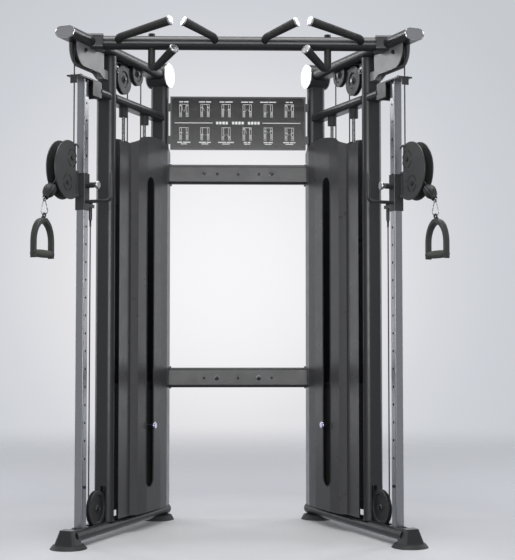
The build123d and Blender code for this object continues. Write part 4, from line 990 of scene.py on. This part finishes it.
def add_floor():
    """A wide pale floor, painted lighter near the machine and darker and cooler further out as a pool of
    light, that fades into the surroundings.
    """
    mesh = bpy.data.meshes.new("floor")
    reach = 14.0
    corners = [(-reach, -reach, 0), (reach, -reach, 0), (reach, reach, 0), (-reach, reach, 0)]
    mesh.from_pydata(corners, [], [(0, 1, 2, 3)])
    floor = bpy.data.objects.new("floor", mesh)
    bpy.context.scene.collection.objects.link(floor)
    made = Shader("pale_floor", (0.80, 0.80, 0.815), 0.6)
    made.vary_rough(made.noise(6, 4), 0.05)
    tree = made.tree
    gradient = made.node("VectorMath", operation="LENGTH")
    made.link(made.place, gradient.inputs[0])
    fade = made.spread(gradient.outputs["Value"], 1.0, 0.0, 1.2, 7.5)
    fade.node.interpolation_type = "SMOOTHERSTEP"
    # Painted pool of light: the floor's colour darkens and cools from 0.4 m to 1.5 m away from the machine.
    made.tint(gradient.outputs["Value"], (0.60, 0.612, 0.645), 1.0, 0.4, 1.5)
    clear = made.node("BsdfTransparent")
    mix = made.node("MixShader")
    made.link(fade, mix.inputs["Fac"])
    made.link(clear.outputs[0], mix.inputs[1])
    made.link(made.bsdf.outputs[0], mix.inputs[2])
    output = next(node for node in tree.nodes if node.type == "OUTPUT_MATERIAL")
    made.link(mix.outputs[0], output.inputs["Surface"])
    mesh.materials.append(made.material)
    floor.visible_diffuse = floor.visible_glossy = False


GLOW_RISE = radians(3)         # the brightest part of the surroundings, above the horizon
SURROUNDINGS = (               # from 0 in front of the machine to 1 behind it, and the colour there
    (0.17, (0.34, 0.345, 0.36, 1)), (0.36, (0.11, 0.113, 0.12, 1)), (0.72, (0.13, 0.134, 0.145, 1)),
    (0.88, (0.36, 0.37, 0.40, 1)), (0.978, (0.565, 0.584, 0.615, 1)), (0.9895, (0.62, 0.64, 0.68, 1)),
    (0.9967, (0.78, 0.775, 0.80, 1)),
)


def add_world():
    """Pale studio surroundings: light behind the machine, darker and cooler away from the middle."""
    world = bpy.data.worlds.new("studio")
    bpy.context.scene.world = world
    world.use_nodes = True
    nodes, links = world.node_tree.nodes, world.node_tree.links
    background = nodes["Background"]
    place = nodes.new("ShaderNodeTexCoord")
    facing = nodes.new("ShaderNodeVectorMath")
    facing.operation = "DOT_PRODUCT"
    facing.inputs[1].default_value = (0.0, cos(GLOW_RISE), sin(GLOW_RISE))
    links.new(place.outputs["Generated"], facing.inputs[0])
    ramp = nodes.new("ShaderNodeValToRGB")
    ramp.color_ramp.interpolation = "EASE"
    stops = ramp.color_ramp.elements
    stops[0].position, stops[0].color = 0.0, (0.10, 0.103, 0.11, 1)
    stops[1].position, stops[1].color = 1.0, (0.93, 0.92, 0.945, 1)
    for position, color in SURROUNDINGS:
        stops.new(position).color = color
    scaled = nodes.new("ShaderNodeMapRange")
    scaled.inputs["From Min"].default_value = -1.0
    links.new(facing.outputs["Value"], scaled.inputs["Value"])
    links.new(scaled.outputs["Result"], ramp.inputs["Fac"])
    links.new(ramp.outputs["Color"], background.inputs["Color"])
    background.inputs["Strength"].default_value = 1.0


def add_light(name, place, target, wide, tall, power, color=(1, 1, 1)):
    light = bpy.data.lights.new(name, "AREA")
    light.shape = "RECTANGLE"
    light.size, light.size_y = wide, tall
    light.energy = power
    light.color = color
    holder = bpy.data.objects.new(name, light)
    holder.location = place
    holder.rotation_euler = (Vector(target) - Vector(place)).to_track_quat("-Z", "Y").to_euler()
    holder.visible_camera = False
    bpy.context.scene.collection.objects.link(holder)


def add_camera():
    lens = bpy.data.cameras.new("camera")
    lens.lens = LENS
    lens.sensor_width = 36.0
    camera = bpy.data.objects.new("camera", lens)
    camera.location = CAMERA_PLACE
    camera.rotation_euler = (pi / 2 + CAMERA_UP, 0, -CAMERA_RIGHT)
    bpy.context.scene.collection.objects.link(camera)
    bpy.context.scene.camera = camera


paint_nodes()
for side in SIDES:
    add_cables(side)
    add_ball(side)
    add_snap_hook(side)
    add_stirrup(side)
    add_swivel_details(side)
    add_slot_edging(side)
    add_pull_up_grips(side)
    add_fixings(side)
    add_stack_shade_sheet(side)
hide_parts("pull_up_grips")
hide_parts("grip_caps")
add_board_print()
add_beam_bolts()
add_floor()
add_world()
add_light("front_softbox", (0, -8.5, 1.7), (0, 0, 1.2), 6.5, 2.8, 300)
add_light("top_softbox", (0, -0.6, 5.2), (0, 0.2, 0), 4.0, 3.0, 170)
add_light("left_strip", (-6.0, 1.2, 2.0), (0, 0.2, 1.2), 1.6, 3.8, 90, (0.94, 0.96, 1.0))
add_light("right_strip", (6.0, 1.2, 2.0), (0, 0.2, 1.2), 1.6, 3.8, 90, (0.94, 0.96, 1.0))
for name, x in (("left_rear_panel", -3.5), ("right_rear_panel", 3.5)):
    add_light(name, (x, 3.3, 1.3), (x * 0.12, 0, 1.2), 1.1, 2.6, 9)
    add_light(name + "_top", (x, 3.3, 3.95), (x * 0.12, 0, 1.6), 1.1, 2.1, 36)
add_camera()
bpy.context.scene.view_settings.view_transform = "Standard"
